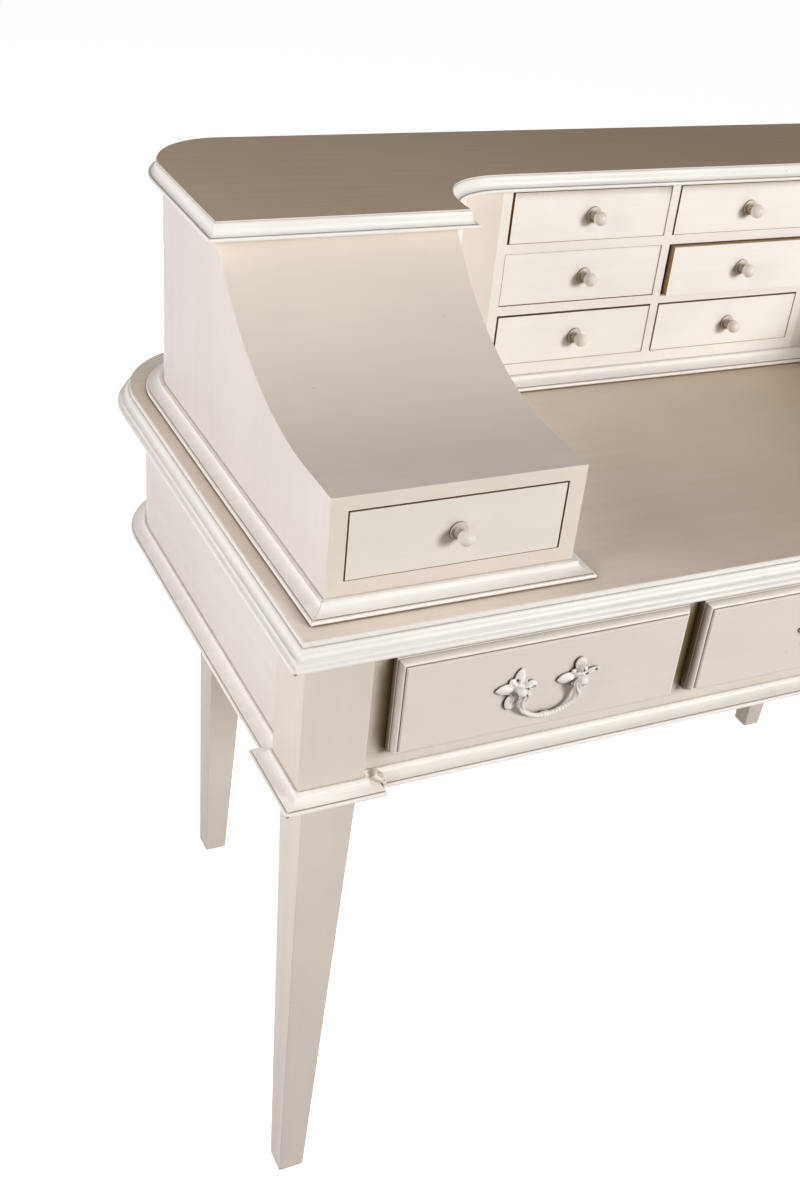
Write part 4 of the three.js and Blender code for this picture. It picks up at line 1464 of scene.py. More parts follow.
@dataclass(frozen=True)
class BailPull:
    """A cast bail that hangs between two leaf plates.

    Attributes:
        spacing: The distance between the posts.
        drop: How far the bail hangs.
        lean_in: How far the bail's lowest point leans in to the drawer front.
        pivot: The distance of the pivot from the drawer front.
        above: The pull's level above the middle of the drawer front.
        head: The distance of the bail's end from its post's axis.
        shares: The bail's line from its end to its middle, as shares of width and drop.
        sizes: The radii of its thin, thick and knotted parts, and the height of its beads
            and ribs.
    """

    spacing: float = 67.0
    drop: float = 38.0
    lean_in: float = 6.8
    pivot: float = 11.0
    above: float = 3.0
    head: float = 3.4
    shares: tuple[Pair, ...] = (
        (1.0, 0.0), (0.93, -0.05), (0.96, -0.2), (1.02, -0.42), (0.86, -0.72), (0.42, -0.95),
        (0.0, -1.0),
    )
    sizes: tuple[tuple[str, float], ...] = (
        ("Thin", 1.8), ("Thick", 2.95), ("Knot", 2.8), ("Bead", 0.7), ("Rib", 1.05),
    )

    def path(self) -> list[Pair]:
        """The bail's line, as pairs of X and Z from the pivot's middle.

        Returns:
            The points, from left to right.
        """
        end = self.spacing / 2 - self.head
        half = [(-a * end, b * self.drop) for a, b in self.shares]
        knots = [Vector(p) for p in (*half, *reversed(flipped(half[:-1])))]
        points: list[Pair] = []
        for i in range(len(knots) - 1):
            a, b = knots[max(i - 1, 0)], knots[i]
            c, d = knots[i + 1], knots[min(i + 2, len(knots) - 1)]
            for t in turns(0.0, 1.0, 10)[:-1]:
                points.append(tuple(0.5 * (
                    2 * b + (c - a) * t + (2 * a - 5 * b + 4 * c - d) * t ** 2
                    + (3 * b - a - 3 * c + d) * t ** 3
                )))
        return [*points, tuple(knots[-1])]

    @staticmethod
    def grow(graph: Graph, given: Sockets) -> Socket:
        """Casts the bail along its line, with leaves, a knot in the middle, beads and ribs.

        Args:
            graph: The geometry tree.
            given: Its inputs.

        Returns:
            The bail.
        """
        line = graph.add("GeometryNodeMeshToCurve", {"Mesh": given["Geometry"]})[0]
        even = graph.add("GeometryNodeResampleCurve", {"Curve": line, "Count": given["Rings"]})[0]
        place = graph.add("GeometryNodeSplineParameter")["Factor"]
        even = {"Geometry": even, "Name": "along", "Value": place}
        even = graph.add("GeometryNodeStoreNamedAttribute", even)[0]
        # From 0 in the middle of the line to 1 at both ends
        away = graph.add("ShaderNodeMath", (place, 2.0, -1.0), operation="MULTIPLY_ADD")[0]
        away = graph.add("ShaderNodeMath", (away,), operation="ABSOLUTE")[0]
        leaf, end, middle = (
            graph.add("ShaderNodeMapRange", (away, *span), interpolation_type="SMOOTHSTEP")[0]
            for span in ((0.42, 0.80), (0.93, 1.0), (0.02, 0.12))
        )
        plain, waist, knotted = (
            graph.add("ShaderNodeMath", (1.0, step), operation="SUBTRACT")[0]
            for step in (leaf, end, middle)
        )
        swell, lump = (
            graph.add("ShaderNodeMath", (given[size], given["Thin"]), operation="SUBTRACT")[0]
            for size in ("Thick", "Knot")
        )
        ripple = graph.add("ShaderNodeMath", (place, given["Beads"]), operation="MULTIPLY")[0]
        ripple = graph.add("ShaderNodeMath", (ripple, math.pi), operation="MULTIPLY")[0]
        ripple = graph.add("ShaderNodeMath", (ripple,), operation="SINE")[0]
        ripple = graph.add("ShaderNodeMath", (ripple,), operation="ABSOLUTE")[0]
        beads = graph.add("ShaderNodeMath", (ripple, given["Bead"]), operation="MULTIPLY")[0]
        body = graph.add("ShaderNodeMath", (leaf, waist), operation="MULTIPLY")[0]
        body, knot, beads = (
            graph.add("ShaderNodeMath", pair, operation="MULTIPLY")[0]
            for pair in ((body, swell), (knotted, lump), (beads, plain))
        )
        slim = graph.add("ShaderNodeMath", (given["Thin"], body), operation="ADD")[0]
        ornament = graph.add("ShaderNodeMath", (knot, beads), operation="ADD")[0]
        radius = graph.add("ShaderNodeMath", (slim, ornament), operation="ADD")[0]
        circle = {"Resolution": given["Sides"], "Radius": 1.0}
        circle = graph.add("GeometryNodeCurvePrimitiveCircle", circle)[0]
        about = graph.add("GeometryNodeSplineParameter")["Factor"]
        circle = {"Geometry": circle, "Name": "round", "Value": about}
        circle = graph.add("GeometryNodeStoreNamedAttribute", circle)[0]
        swept = {"Curve": even, "Profile Curve": circle, "Scale": radius, "Fill Caps": True}
        swept = graph.add("GeometryNodeCurveToMesh", swept)[0]
        along, about = (
            graph.add("GeometryNodeInputNamedAttribute", (label,))[0]
            for label in ("along", "round")
        )
        # Five ribs that twist seven times on the way
        twist = graph.add("ShaderNodeMath", (along, 7.0), operation="MULTIPLY")[0]
        twist = graph.add("ShaderNodeMath", (about, 5.0, twist), operation="MULTIPLY_ADD")[0]
        ribs = graph.add("ShaderNodeMath", (twist, 2 * math.pi), operation="MULTIPLY")[0]
        ribs = graph.add("ShaderNodeMath", (ribs,), operation="SINE")[0]
        away = graph.add("ShaderNodeMath", (along, 2.0, -1.0), operation="MULTIPLY_ADD")[0]
        away = graph.add("ShaderNodeMath", (away,), operation="ABSOLUTE")[0]
        span = (away, 0.45, 0.75)
        depth = graph.add("ShaderNodeMapRange", span, interpolation_type="SMOOTHSTEP")[0]
        depth = graph.add("ShaderNodeMath", (given["Rib"], depth), operation="MULTIPLY")[0]
        push = graph.add("ShaderNodeMath", (ribs, depth), operation="MULTIPLY")[0]
        push = {0: graph.add("GeometryNodeInputNormal")[0], "Scale": push}
        push = graph.add("ShaderNodeVectorMath", push, operation="SCALE")[0]
        return graph.add("GeometryNodeSetPosition", {"Geometry": swept, "Offset": push})[0]

    def build(self, body: str, front: Place) -> None:
        """Builds and dresses a drawer's pull.

        Args:
            body: The drawer's body.
            front: The middle of the drawer's front face.
        """
        x, y, z = front[0], front[1], front[2] + self.above
        for side, leaf, step in (("left", LEFT_LEAF, -1), ("right", RIGHT_LEAF, 1)):
            Piece(
                f"{body}_leaf_{side}", leaf.shell((x + step * self.spacing / 2, y, z)),
                (f"{body}_post_{side}",), PAINT_CASTING, body, Slot.CASTING, bevel=0,
            ).place()
        lean = math.asin(self.lean_in / self.drop)
        points = [
            to_row((x + a, y - self.pivot - b * math.sin(lean), z + b * math.cos(lean)))
            for a, b in self.path()
        ]
        name = f"{body}_bail_cast"
        mesh = CAST_BAIL.mesh(name, line_mesh(f"{name}_line", points), {
            **{label: size * MM for label, size in self.sizes},
            "Beads": 34.0, "Rings": 220, "Sides": 24, "Finish": PAINT_CASTING.material(),
        })
        node = f"{body}_bail"
        Piece(name, mesh, (node,), body=node, slot=Slot.CASTING, bevel=0).place()


CAST_BAIL = Grower(
    "cast_bail",
    {**dict.fromkeys(("Thin", "Thick", "Knot", "Bead", "Beads", "Rib"), "Float"),
     "Rings": "Int", "Sides": "Int", "Finish": "Material"},
    BailPull.grow, ("along", "round"),
)


@dataclass
class Superstructure:
    """The wings, the bank's frame and the top on the table."""

    base: float = 760.0
    wing_top: float = 873.0
    climb: float = 120.0
    flat_end: float = 90.0
    sweep_back: float = 335.0
    sweep_thick: float = 9.0
    wall: float = 14.0
    frame_thick: float = 16.0
    top_thick: float = 17.0
    margin: float = 17.0
    opening: Pair = (789.0, 859.0)
    bank_half: float = 226.0
    bank_back: float = 556.0
    bank_side: float = 12.0
    divider: float = 11.0
    rail: float = 11.0
    bottom_rail: float = 28.0
    top_rail: float = 2.0

    @property
    def underside(self) -> float:
        """The level of the top's underside."""
        return self.wing_top + self.climb

    def sweep(self, y: float, depth: float = 0.0) -> float:
        """The level of a wing's swept top.

        Args:
            y: The depth at which it is asked for.
            depth: How far below the upper face.

        Returns:
            The level.
        """
        run = self.sweep_back - self.flat_end
        radius = (run ** 2 + self.climb ** 2) / (2 * self.climb) + depth
        across = min(max(y - self.flat_end, 0.0), radius)
        return self.wing_top - depth + radius - math.sqrt(radius ** 2 - across ** 2)

    def depths(self) -> list[float]:
        """Depths along the sweep, close together on its arc."""
        back = PLAN.wing_front + self.frame_thick
        return [back, self.flat_end - 1, *turns(self.flat_end, self.sweep_back, 36)]

    def wing(self) -> Mesh:
        """The left wing's case: its two walls, swept top and face frame under one paint.

        Returns:
            The mesh.
        """
        left, right, top = -PLAN.wall_side, -PLAN.wing_inside, self.underside
        depths = self.depths()

        def wall_top(y: float) -> float:
            """The upper edge of a wall, inside the swept top and up to the board behind it."""
            behind = y >= self.sweep_back - 0.1
            return top if behind else min(self.sweep(y, self.sweep_thick / 2), top)

        def outer_line(reach: float) -> list[Pair]:
            """The plan line of the outer wall."""
            return [*[(left - reach, y) for y in depths], *flipped(PLAN.wall_turn(reach))]

        def inner_line(reach: float) -> list[Pair]:
            """The plan line of the inner wall."""
            ahead = [y for y in depths if y < PLAN.bank_front - PLAN.niche_depth - 1]
            return [*[(right + reach, y) for y in ahead], *PLAN.niche(reach)]

        def side(depth: float, depths: list[float]) -> list[Pair]:
            """The swept top's edge seen from the side, just under the board."""
            return [(y, min(self.sweep(y, depth), top - APART)) for y in depths]

        low, thick = self.base, -self.wall
        section = [(0.0, low), (thick, low), (thick, wall_top), (0.0, wall_top)]
        walls = [strip(line, section) for line in (outer_line, inner_line)]
        end = next(i for i, y in enumerate(depths) if self.sweep(y) >= top - APART)
        outline = [*side(0.0, depths[:end + 1]), *reversed(side(self.sweep_thick, depths))]
        cover = loft([[(x, y, z) for y, z in outline] for x in (left, right)])
        hole = ((left + self.margin, right - self.margin), self.opening)
        face = open_plate(
            (left, right), (low, self.wing_top), [hole],
            (PLAN.wing_front, PLAN.wing_front + self.frame_thick),
        )
        return united("wing_case", [face, cover, *walls])

    def cells(self) -> list[tuple[Pair, Pair]]:
        """The openings of the bank, from the bottom left to the top right.

        Returns:
            Pairs of X and pairs of Z.
        """
        width = (2 * self.bank_half - 2 * self.bank_side - self.divider) / 2
        inner = self.underside - self.top_rail - self.base - self.bottom_rail
        height = (inner - 2 * self.rail) / 3
        lefts = [-self.bank_half + self.bank_side + i * (width + self.divider) for i in range(2)]
        lows = [self.base + self.bottom_rail + i * (height + self.rail) for i in range(3)]
        return [((x, x + width), (z, z + height)) for z in lows for x in lefts]

    def build(self) -> None:
        """Builds and dresses the superstructure."""
        self.build_wings()
        self.build_bank()
        self.build_top()
        front = PLAN.wing_front

        def inner_line(reach: float) -> list[Pair]:
            """The plan line of the moulding along the fronts and the niche."""
            corner = (-PLAN.wall_side - reach + APART, front - reach)
            return [corner, *PLAN.inner(front, reach), (-corner[0], corner[1])]

        StripMoulding(self.base, 19.0, 5.0).build({
            "base_moulding_outer": lambda reach: PLAN.outer(front, reach),
            "base_moulding_inner": inner_line,
        })

    def build_wings(self) -> None:
        """Builds the two wings' cases."""
        left = self.wing()
        right = left.copy()
        right.transform(Matrix.Scale(-1, 4, (1, 0, 0)))
        cleaned(right)
        niche = PLAN.wing_inside * MM + NEAR
        within = (-PLAN.wall_side + 1, -PLAN.wing_inside - 1)
        depth = (PLAN.wing_front + 0.1, PLAN.wing_front + self.frame_thick - 0.1)
        levels = (self.opening[0] - 0.5, self.opening[1] + 0.5)

        def paint(face: bpy.types.MeshPolygon) -> int:
            """Upright strokes on the side walls, and paler ones in the niche as painted light."""
            upright = abs(face.normal.z) < 0.2 and abs(face.normal.x) > 0.3
            return (2 if abs(face.center.x) < niche else 1) if upright else 0

        for side, mesh, x in (("left", left, within), ("right", right, (-within[1], -within[0]))):
            mesh.materials.clear()
            paint_faces(mesh, [PAINT_WING, PAINT_UPRIGHT, PAINT_INSIDE], paint)
            boards = ("outer_wall", "inner_wall", "wing_sweep", "wing_face_frame")
            Piece(
                f"wing_case_{side}", stain_openings(mesh, x, depth, levels),
                tuple(f"{board}_{side}" for board in boards), bevel=0.8,
            ).place()

    def build_bank(self) -> None:
        """Builds the board at the back and the frame of the small drawers."""
        end = PLAN.wall_side - PLAN.wall_corner
        whole = (self.base, self.underside)
        back = block((-end, end), (self.bank_back, PLAN.wall_back), whole)
        Piece(
            "superstructure_back_board", back, ("superstructure_back",), PAINT_ACROSS,
        ).place()
        deep = (PLAN.bank_front, self.bank_back)
        side = self.bank_half
        mesh = new_mesh("bank_front_frame", open_plate((-side, side), whole, self.cells(), deep))
        mesh.materials.append(PAINT_NICHE.material())
        stain_openings(mesh, (1 - side, side - 1), deep, (self.base + 1, self.underside - 1))
        Piece("bank_front_frame", mesh, ("bank_frame",), bevel=0.15).place()

    def build_top(self) -> None:
        """Builds the board on top: a bead, a quirk, a hollow, a round and a fillet."""
        under = self.underside
        top = under + self.top_thick
        profile = [
            (14.0, under),
            *half_bead(14.0, under + 0.01, 3.6, 1.0),
            (12.2, under + 3.6),
            (12.2, under + 4.1),
            *ogee((12.8, under + 4.1), (6.0, top - 1.4)),
            (6.5, top - 1.4),
            (6.5, top - 1.1),
            (6.0, top - 1.1),
            (6.0, top),
        ]
        name = "superstructure_top_board"
        slab = two_toned(name, board(PLAN.slab, profile), PAINT_SLAB)
        Piece(name, slab, ("superstructure_top",), bevel=0.25).place()


@dataclass
class Table:
    """The table: its top, legs, aprons, frieze frame and lower moulding."""

    top: float = 760.0
    top_thick: float = 24.0
    apron: float = 160.0
    recess: float = 11.0
    apron_thick: float = 18.0
    post: float = 67.0
    leg_inset: float = 9.5
    foot: float = 29.5
    foot_inset: float = 13.5
    edge: float = 1.5
    rear_side: float = 106.0
    rear_back: float = 13.5
    frieze_thick: float = 20.0

    @property
    def underside(self) -> float:
        """The level of the top's underside."""
        return self.top - self.top_thick

    @property
    def low(self) -> float:
        """The level of the aprons' lower edge."""
        return self.underside - self.apron

    def top_profile(self) -> list[Pair]:
        """The edge of the desk top: a bead, a cove, a hollow, a round and two fillets.

        Returns:
            Pairs of reach and level, from its underside up.
        """
        under, top = self.underside, self.top
        angles = turns(0.0, QUARTER, 7)
        return [
            (17.4, under),
            *half_bead(17.0, under + 0.01, 5.0, 2.0),
            *[(16.9 - 2.7 * math.sin(t), under + 8.5 - 3.3 * math.cos(t)) for t in angles],
            (14.8, under + 8.6),
            (14.8, under + 9.7),
            *[(14.2 - 4.9 * math.sin(t), under + 14.4 - 4.6 * math.cos(t)) for t in angles],
            *[(6.2 + 3.1 * math.cos(t), under + 14.6 + 4.0 * math.sin(t)) for t in angles],
            (5.7, under + 18.9),
            (6.1, under + 19.1),
            (6.1, top - 1.3),
            (5.7, top - 1.1),
            (5.7, top - 0.8),
            (5.0, top - 0.6),
            (5.0, top),
        ]

    def leg(
        self, x: Callable[[float], float], y: Callable[[float], float], across: Pair, deep: Pair,
        cut: float, level: float,
    ) -> Shell:
        """A post that carries the aprons, and a leg that tapers on its inner sides.

        Args:
            x: Turns a distance across the leg into a place.
            y: Turns a distance along its depth into a place.
            across: The post's sides across.
            deep: The post's sides along its depth.
            cut: The radius of the post's outer corner.
            level: The level where the post meets the leg.

        Returns:
            The skin.
        """
        edge, root = self.edge, (self.leg_inset, self.post - 0.5)
        post = rounded_box(across, deep, (cut, edge, edge, edge))
        taper = rounded_box(root, root, (edge,) * 4)
        rows = [(self.underside, post), (level, post), (level, taper)]
        # The foot, whose edges are worn
        for height, worn, radius in ((2.5, 0.0, edge), (0.8, 0.8, edge), (0.0, 2.3, 1.2)):
            side = (self.foot_inset + worn, self.foot_inset + self.foot - worn)
            rows.append((height, rounded_box(side, side, (radius,) * 4)))
        return loft([[(x(a), y(b), z) for a, b in ring] for z, ring in rows])

    def build(self) -> None:
        """Builds and dresses the table."""
        top = two_toned("desk_top_board", board(PLAN.desk, self.top_profile()), PAINT_TOP)
        Piece("desk_top_board", top, ("desk_top",)).place()
        self.build_legs()
        self.build_aprons()
        self.build_mouldings()

    def build_legs(self) -> None:
        """Builds the four legs."""
        half, whole = PLAN.width / 2, (0.0, self.post)
        front = self.leg(lambda a: a - half, lambda b: b, whole, whole, self.edge, self.low)
        offset = self.rear_side - self.leg_inset - half
        back = PLAN.depth - self.rear_back + self.leg_inset
        inside = back - (PLAN.depth - self.recess - self.apron_thick - APART)
        rear = self.leg(
            lambda a: a + offset, lambda b: back - b, (self.leg_inset + 0.5, self.post - 1.0),
            (inside, self.post - 1.0), 9.0, self.low - APART,
        )
        for name, shell in (("front_leg", front), ("rear_leg", rear)):
            for side, own in (("left", shell), ("right", mirrored(shell))):
                node = f"{name}_{side}"
                Piece(f"{node}_post", own, (node,), PAINT_LEG, bevel=0.25).place()

    def build_aprons(self) -> None:
        """Builds the side and back aprons and the frieze frame."""
        half, low, high = PLAN.width / 2, self.low, self.underside
        face, inside = -self.recess, -self.recess - self.apron_thick

        def side_line(reach: float) -> list[Pair]:
            """The plan line of the left apron."""
            straight = [(half + reach, y) for y in (self.post, PLAN.depth - PLAN.corner - 1)]
            return flipped([*straight, *PLAN.table_turn(reach)])

        side = strip(side_line, [(face, low), (inside, low), (inside, high), (face, high)])
        for place, own in (("left", side), ("right", mirrored(side))):
            node = f"side_apron_{place}"
            Piece(f"{node}_board", own, (node,), PAINT_DEEP).place()
        end = half - PLAN.corner
        back = block((-end, end), (PLAN.depth + inside, PLAN.depth + face), (low, high))
        Piece("back_apron_board", back, ("back_apron",), PAINT_ACROSS).place()
        end = half - self.post
        holes = [(drawer.gap, FriezeDrawer.opening) for drawer in FRIEZE_DRAWERS]
        depth = (self.recess, self.recess + self.frieze_thick)
        frieze = open_plate((-end, end), (low, high), holes, depth)
        Piece("frieze_front_frame", frieze, ("frieze_frame",), PAINT_RECESS, bevel=0.5).place()

    def build_mouldings(self) -> None:
        """Builds the lower moulding."""
        half, post, recess = PLAN.width / 2, self.post, self.recess
        end = half - post

        def front_line(reach: float) -> list[Pair]:
            """Between the two front posts."""
            side = end - reach - APART
            return [(-side, recess - reach), (side, recess - reach)]

        def post_line(reach: float) -> list[Pair]:
            """Round the left front post.

            Args:
                reach: How far it is moved outwards.

            Returns:
                The points, from the inner side round to the back.
            """
            inner, outer = -end + reach, -half - reach
            return [
                (inner, recess - reach), (inner, -reach), (outer, -reach),
                (outer, post + reach), (outer + recess, post + reach),
            ]

        def rear_line(reach: float) -> list[Pair]:
            """Along the sides and round the back."""
            out = reach - recess
            return both_sides([(half + out, post + reach + APART), *PLAN.table_turn(out)])

        StripMoulding(self.low, 18.0, 3.0).build({
            "front_lower_moulding": front_line,
            "post_lower_moulding_left": post_line,
            "post_lower_moulding_right": lambda reach: flipped(post_line(reach)),
            "rear_lower_moulding": rear_line,
        })


@dataclass(frozen=True)
class DovetailedBox:
    """An open box of five boards, its sides joined to its front and back by dovetails.

    Attributes:
        sides: Its sides on X, Y and Z.
        front: The thickness of its front board.
        wall: The thickness of its sides and back.
        floor: The level of its floor above its lower edge.
        lap: How much of the front board hides the ends of the tails.
        tails: How many tails each corner has.
        proud: How far the sides stand out past the boards across.
        groove: How far the floor goes into the boards round it.
    """

    sides: Sides
    front: float
    wall: float
    floor: float
    lap: float
    tails: int
    proud: float = 0.15
    groove: float = 2.0

    def side_outline(self) -> list[Pair]:
        """The outline of a side board, with its tails.

        Returns:
            Pairs of Y and Z.
        """
        _, (near, far), (low, high) = self.sides
        margin = (high - low) * 0.07
        pitch = (high - low - 2 * margin) / self.tails
        wide, narrow = 0.37 * pitch, 0.25 * pitch
        middles = [low + margin + pitch * (i + 0.5) for i in range(self.tails)]
        root, tip, far_root = near + self.front, near + self.lap, far - self.wall
        back = [
            point for z in middles for point in (
                (far_root, z - narrow), (far, z - wide), (far, z + wide), (far_root, z + narrow))
        ]
        front = [
            point for z in reversed(middles) for point in (
                (root, z + narrow), (tip, z + wide), (tip, z - wide), (root, z - narrow))
        ]
        return [(root, low), (far_root, low), *back, (far_root, high), (root, high), *front]

    def boards(self) -> list[tuple[Shell, Finish]]:
        """The five boards with their finishes.

        Returns:
            The skins and the finishes.
        """
        (x0, x1), (y0, y1), (z0, z1) = self.sides
        a, b, wall, groove = x0 + self.proud, x1 - self.proud, self.wall, self.groove

        def upright(left: float, right: float, y: float) -> Ring:
            """A rectangle across the box."""
            return [(left, y, z0), (right, y, z0), (right, y, z1), (left, y, z1)]

        rows = [upright(a, b, y0 + self.lap), upright(a, b, y0 + self.front)]
        if self.lap:
            rows = [upright(x0, x1, y0), upright(x0, x1, y0 + self.lap), *rows]
        outline = self.side_outline()
        floor = block(
            (x0 + wall - groove, x1 - wall + groove),
            (y0 + self.front - groove, y1 - wall + groove), (z0 + 0.8, z0 + self.floor),
        )
        return [
            (loft(rows), WOOD_ACROSS),
            (block((a, b), (y1 - wall, y1 - self.proud), (z0, z1)), WOOD_ACROSS),
            *[(loft([[(x, y, z) for y, z in outline] for x in faces]), WOOD_DEEP)
              for faces in ((x0, x0 + wall), (x1 - wall, x1))],
            (floor, WOOD_DEEP),
        ]


@dataclass
class FriezeDrawer:
    """A drawer of the frieze: a moulded front and a tray."""

    place: str
    centre: float
    width: float
    back: float = 10.7
    thick: float = 16.7
    low: float = 610.0
    high: float = 718.0
    edge: float = 7.0
    edge_width: float = 7.5
    raised: float = 2.4

    opening: ClassVar[Pair] = (620.0, 710.0)

    @property
    def gap(self) -> Pair:
        """The sides of its opening in the frame."""
        return self.centre - self.width / 2 + 10, self.centre + self.width / 2 - 10

    def front(self) -> Shell:
        """The moulded front: a lip, a step, an ovolo, a quirk, a fillet and a raised field.

        Returns:
            The skin.
        """
        edge, thick = self.edge, self.thick
        shoulder = thick - self.raised
        profile = [
            (0.0, 0.0), (0.0, edge - 0.4), (0.3, edge), (0.9, edge), (1.0, edge - 0.5), (1.2, edge),
            *[(1.3 + 4.2 * (1 - math.cos(t)), edge + 0.4 + (shoulder - edge - 0.4) * math.sin(t))
              for t in turns(0.0, QUARTER, 8)],
            (5.7, shoulder - 0.9), (6.1, shoulder - 0.9), (6.2, thick - 1.0), (6.9, thick - 1.0),
            (7.0, thick - 0.2), (self.edge_width, thick),
        ]
        rings = []
        for inset, depth in profile:
            half, low, high = self.width / 2 - inset, self.low + inset, self.high - inset
            left, right, y = self.centre - half, self.centre + half, self.back - depth
            rings.append([(left, y, low), (right, y, low), (right, y, high), (left, y, high)])
        return loft(rings)

    def build(self) -> None:
        """Builds and dresses the drawer."""
        body = f"frieze_drawer_{self.place}"
        name = f"{body}_moulded_front"
        mesh = new_mesh(name, self.front())
        field = max((f for f in mesh.polygons if f.normal.y < -0.9), key=lambda f: f.area).index
        # The field, the edge paler as a painted highlight, and the ends with painted shade
        paint_faces(
            mesh, [PAINT_FRIEZE, PAINT_EDGE, PAINT_FLANK],
            lambda face: 0 if face.index == field else 2 if abs(face.normal.x) > 0.5 else 1,
        )
        Piece(
            name, mesh, (f"{body}_front",), body=body, slot=Slot.DRAWER, bevel=0.25,
        ).place()
        tray = DovetailedBox(node_sides(f"{body}_tray"), 12.0, 12.0, 7.0, lap=0.0, tails=4)
        name = f"{body}_dovetailed_tray"
        Piece(
            name, jointed(name, tray.boards()), (f"{body}_tray",), body=body, slot=Slot.INSIDE,
        ).place()
        BailPull().build(body, (self.centre, self.back - self.thick, (self.high + self.low) / 2))


FRIEZE_DRAWERS = (
    FriezeDrawer("left", -360.0, 318.0),
    FriezeDrawer("middle", 0.0, 364.0),
    FriezeDrawer("right", 360.0, 318.0),
)


@dataclass
class SmallDrawer:
    """A dovetailed drawer with a flush front and a knob.

    Attributes:
        body: Its body.
        front: The thickness of its front.
        gaps: How much it has shrunk on the left, the right, the top and the bottom.
        knob: How far the knob stands off the middle, to the right and up.
        finish: The paint of its front.
    """

    body: str
    front: float
    gaps: tuple[float, float, float, float]
    knob: Pair = (0.0, 0.0)
    finish: Finish = PAINT_DRAWER

    def box(self) -> DovetailedBox:
        """The drawer's box, from its CAD node's place.

        Returns:
            The box.
        """
        x, y, z = node_sides(f"{self.body}_box")
        left, right, above, below = self.gaps
        return DovetailedBox(
            ((x[0] + left, x[1] - right), y, (z[0] + below, z[1] - above)),
            self.front, 7.0, 5.0, lap=self.front * 0.35, tails=3,
        )

    def build(self) -> None:
        """Builds and dresses the drawer and its knob."""
        name = f"{self.body}_case"
        mesh = jointed(name, self.box().boards())
        face_y = min(vertex.co.y for vertex in mesh.vertices) + NEAR
        painted = len(mesh.materials)
        paint_faces(
            mesh, [self.finish],
            lambda face: painted if face.center.y < face_y else face.material_index,
        )
        Piece(
            name, mesh, (f"{self.body}_box",), body=self.body, slot=Slot.DRAWER, bevel=0.15,
        ).place()
        x, y, z = node_sides(f"{self.body}_knob")
        centre = (sum(x) / 2 + self.knob[0], y[1], sum(z) / 2 + self.knob[1])
        Knob().build(f"{self.body}_knob", self.body, centre)


SMALL_DRAWERS = (
    SmallDrawer("wing_drawer_left", 14.0, (0.6, 1.0, 0.8, -0.3), finish=PAINT_SMALL),
    SmallDrawer("wing_drawer_right", 14.0, (0.7, 0.8, 0.6, -0.3), finish=PAINT_SMALL),
    SmallDrawer("bank_drawer_top_left", 12.0, (2.6, -0.85, 2.4, -0.4), (3.6, -0.9)),
    SmallDrawer("bank_drawer_top_right", 12.0, (2.2, -0.85, 2.4, -0.4), (1.2, -2.0)),
    SmallDrawer("bank_drawer_middle_left", 12.0, (0.0, -0.85, -0.9, 0.3), (3.6, 0.6)),
    SmallDrawer("bank_drawer_middle_right", 12.0, (2.6, -0.85, 0.2, -0.3), (2.2, 0.6)),
    SmallDrawer("bank_drawer_bottom_left", 12.0, (2.0, -0.85, 1.3, -0.4), (4.4, -0.9)),
    SmallDrawer("bank_drawer_bottom_right", 12.0, (1.8, -0.85, 1.1, -0.4), (5.6, -1.6)),
)


@dataclass
class CarriedOver:
    """CAD nodes whose shape is right, with a better finish."""

    nodes: tuple[str, ...] = (
        "drawer_runner_frame", "wing_drawer_floor_left", "wing_drawer_floor_right",
    )

    def dress(self) -> None:
        """Gives the nodes their finish."""
        for name in self.nodes:
            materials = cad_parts[name].data.materials
            materials.clear()
            materials.append(WOOD_DEEP.material())
            LOG.info("%s keeps its shape", name)


@dataclass(frozen=True)
class PuttyDab:
    """A lump of putty that was left in a joint.

    Attributes:
        name: Its name.
        place: Its middle.
        size: Its half width, half depth and half height.
        turn: What its lumps start from.
    """

    name: str
    place: Place
    size: Place
    turn: float

    def build(self) -> None:
        """Builds and dresses the lump."""
        (x, y, z), (wide, deep, tall) = self.place, self.size
        rings = []
        for lift in turns(0.0, math.pi, 12)[1:-1]:
            ring = []
            for around in turns(0.0, 2 * math.pi, 20)[:-1]:
                lump = (1 + 0.16 * math.sin(3 * around + self.turn)
                        + 0.12 * math.sin(4 * lift + 2 * around + 2 * self.turn)) * math.sin(lift)
                ring.append((
                    x + wide * lump * math.cos(around), y + deep * lump * math.sin(around),
                    z - tall * math.cos(lift),
                ))
            rings.append(ring)
        Piece(self.name, loft(rings), finish=PUTTY, bevel=0).place()


PUTTY_DABS = (
    PuttyDab("putty_dab_long", (-526.5, -1.0, 589.2), (2.6, 6.0, 2.0), 0.4),
    PuttyDab("putty_dab_round", (-530.0, 4.5, 590.4), (3.4, 3.0, 2.2), 1.9),
    PuttyDab("putty_dab_low", (-524.6, -6.5, 584.0), (1.8, 2.6, 3.2), 3.1),
)


# Studio


@dataclass(frozen=True)
class Lamp:
    """A soft box that points at the desk.

    Attributes:
        name: Its name.
        place: Its place, in metres.
        target: What it points at, in metres.
        size: Its width, in metres.
        power: Its power, in watts.
        colour: Its colour.
        seen: Whether the camera and reflections show it.
    """

    name: str
    place: Place
    target: Place
    size: float
    power: float
    colour: str
    seen: bool = True

    def build(self) -> None:
        """Puts the lamp in the scene."""
        light = bpy.data.lights.new(self.name, "AREA")
        light.shape = "SQUARE"
        light.size = self.size
        light.energy = self.power
        light.color = linear(self.colour)[:3]
        made = put(self.name, light)
        made.location = self.place
        aim = Vector(self.target) - Vector(self.place)
        made.rotation_euler = aim.to_track_quat("-Z", "Y").to_euler()
        made.visible_camera = made.visible_glossy = self.seen


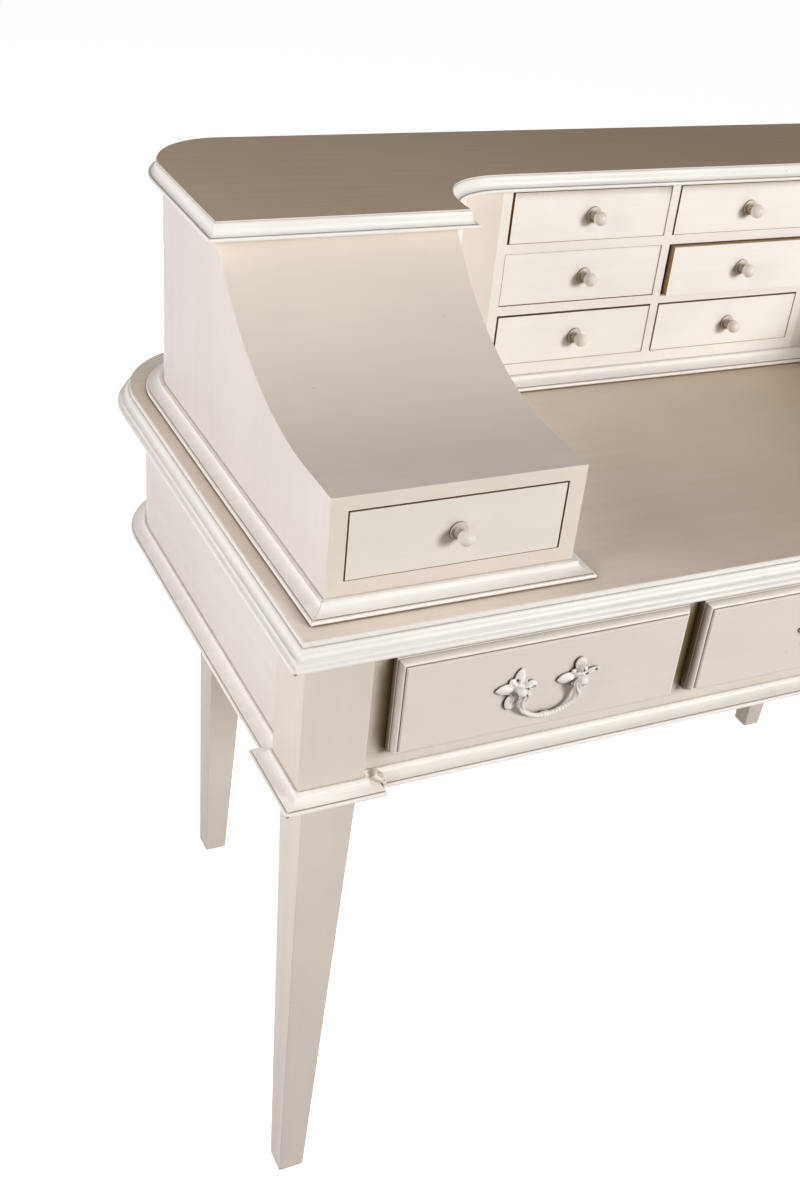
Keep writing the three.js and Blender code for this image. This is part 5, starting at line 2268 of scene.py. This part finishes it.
@dataclass(frozen=True)
class Studio:
    """A pale floor, soft light and the photograph's camera."""

    camera_place: Place = (-1.028324, -1.253945, 1.454753)
    yaw: float = 29.8938
    pitch: float = 35.2983
    roll: float = -7.2299
    lens: float = 43.7076
    shift: Pair = (-0.02622, 0.07361)
    lamps: tuple[Lamp, ...] = (
        Lamp("back_fill", (0.3, 2.7, 0.70), (0.0, 0.3, 0.62), 1.5, 52.0, "fffcfa", seen=False),
        Lamp("right_fill", (2.7, 0.0, 0.70), (0.5, 0.0, 0.64), 1.4, 30.0, "fffcfa", seen=False),
        Lamp("key_box", (1.6, -3.12, 2.02), (0.0, 0.0, 0.78), 1.0, 109.0, "fffefc"),
        Lamp("left_fill", (-2.25, -0.35, 1.42), (-0.5, 0.0, 0.7), 1.4, 31.0, "fffcfc"),
    )

    def build_camera(self) -> None:
        """Puts the camera where the photograph was taken."""
        yaw, pitch, roll = (math.radians(a) for a in (self.yaw, self.pitch, self.roll))
        data = bpy.data.cameras.new("photo_camera")
        data.lens = self.lens
        data.sensor_width = 36.0
        data.shift_x, data.shift_y = self.shift
        data.clip_start, data.clip_end = 0.05, 60.0
        made = put("photo_camera", data)
        turned = (
            Matrix.Rotation(-yaw, 4, "Z") @ Matrix.Rotation(QUARTER - pitch, 4, "X")
            @ Matrix.Rotation(-roll, 4, "Z")
        )
        made.matrix_world = Matrix.Translation(self.camera_place) @ turned
        bpy.context.scene.camera = made

    def build_floor(self) -> None:
        """Lays the pale floor, 28 m square."""
        mesh = bpy.data.meshes.new("studio_floor")
        corners = [(-14, -14, 0), (14, -14, 0), (14, 14, 0), (-14, 14, 0)]
        mesh.from_pydata(corners, [], [(0, 1, 2, 3)])
        mesh.materials.append(MattVinyl("matt_white_vinyl").material())
        floor = put("studio_floor", mesh)

    def build_world(self) -> None:
        """Sets the soft light all round, and the white background."""
        world = bpy.data.worlds.new("studio_world")
        bpy.context.scene.world = world
        world.use_nodes = True
        world.node_tree.nodes.clear()
        graph = Graph(world.node_tree)
        rays = graph.add("ShaderNodeLightPath")
        soft, white = (
            graph.add("ShaderNodeBackground", {"Color": linear(colour), "Strength": strength})[0]
            for colour, strength in (("f6ece4", 0.075), ("ffffff", 1.0))
        )
        mixed = {0: rays["Is Camera Ray"], 1: soft, 2: white}
        mixed = graph.add("ShaderNodeMixShader", mixed)[0]
        graph.add("ShaderNodeOutputWorld", {"Surface": mixed})

    def build(self) -> None:
        """Builds the studio."""
        bpy.context.scene.view_settings.view_transform = "Standard"
        self.build_camera()
        self.build_floor()
        self.build_world()
        for lamp in self.lamps:
            lamp.build()


def main() -> None:
    """Builds every sub-assembly in order."""
    logging.basicConfig(level=logging.INFO, format="%(message)s")
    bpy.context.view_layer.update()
    Studio().build()
    Table().build()
    for drawer in FRIEZE_DRAWERS:
        drawer.build()
    Superstructure().build()
    for drawer in SMALL_DRAWERS:
        drawer.build()
    for dab in PUTTY_DABS:
        dab.build()
    CarriedOver().dress()


if __name__ == "__main__":
    main()
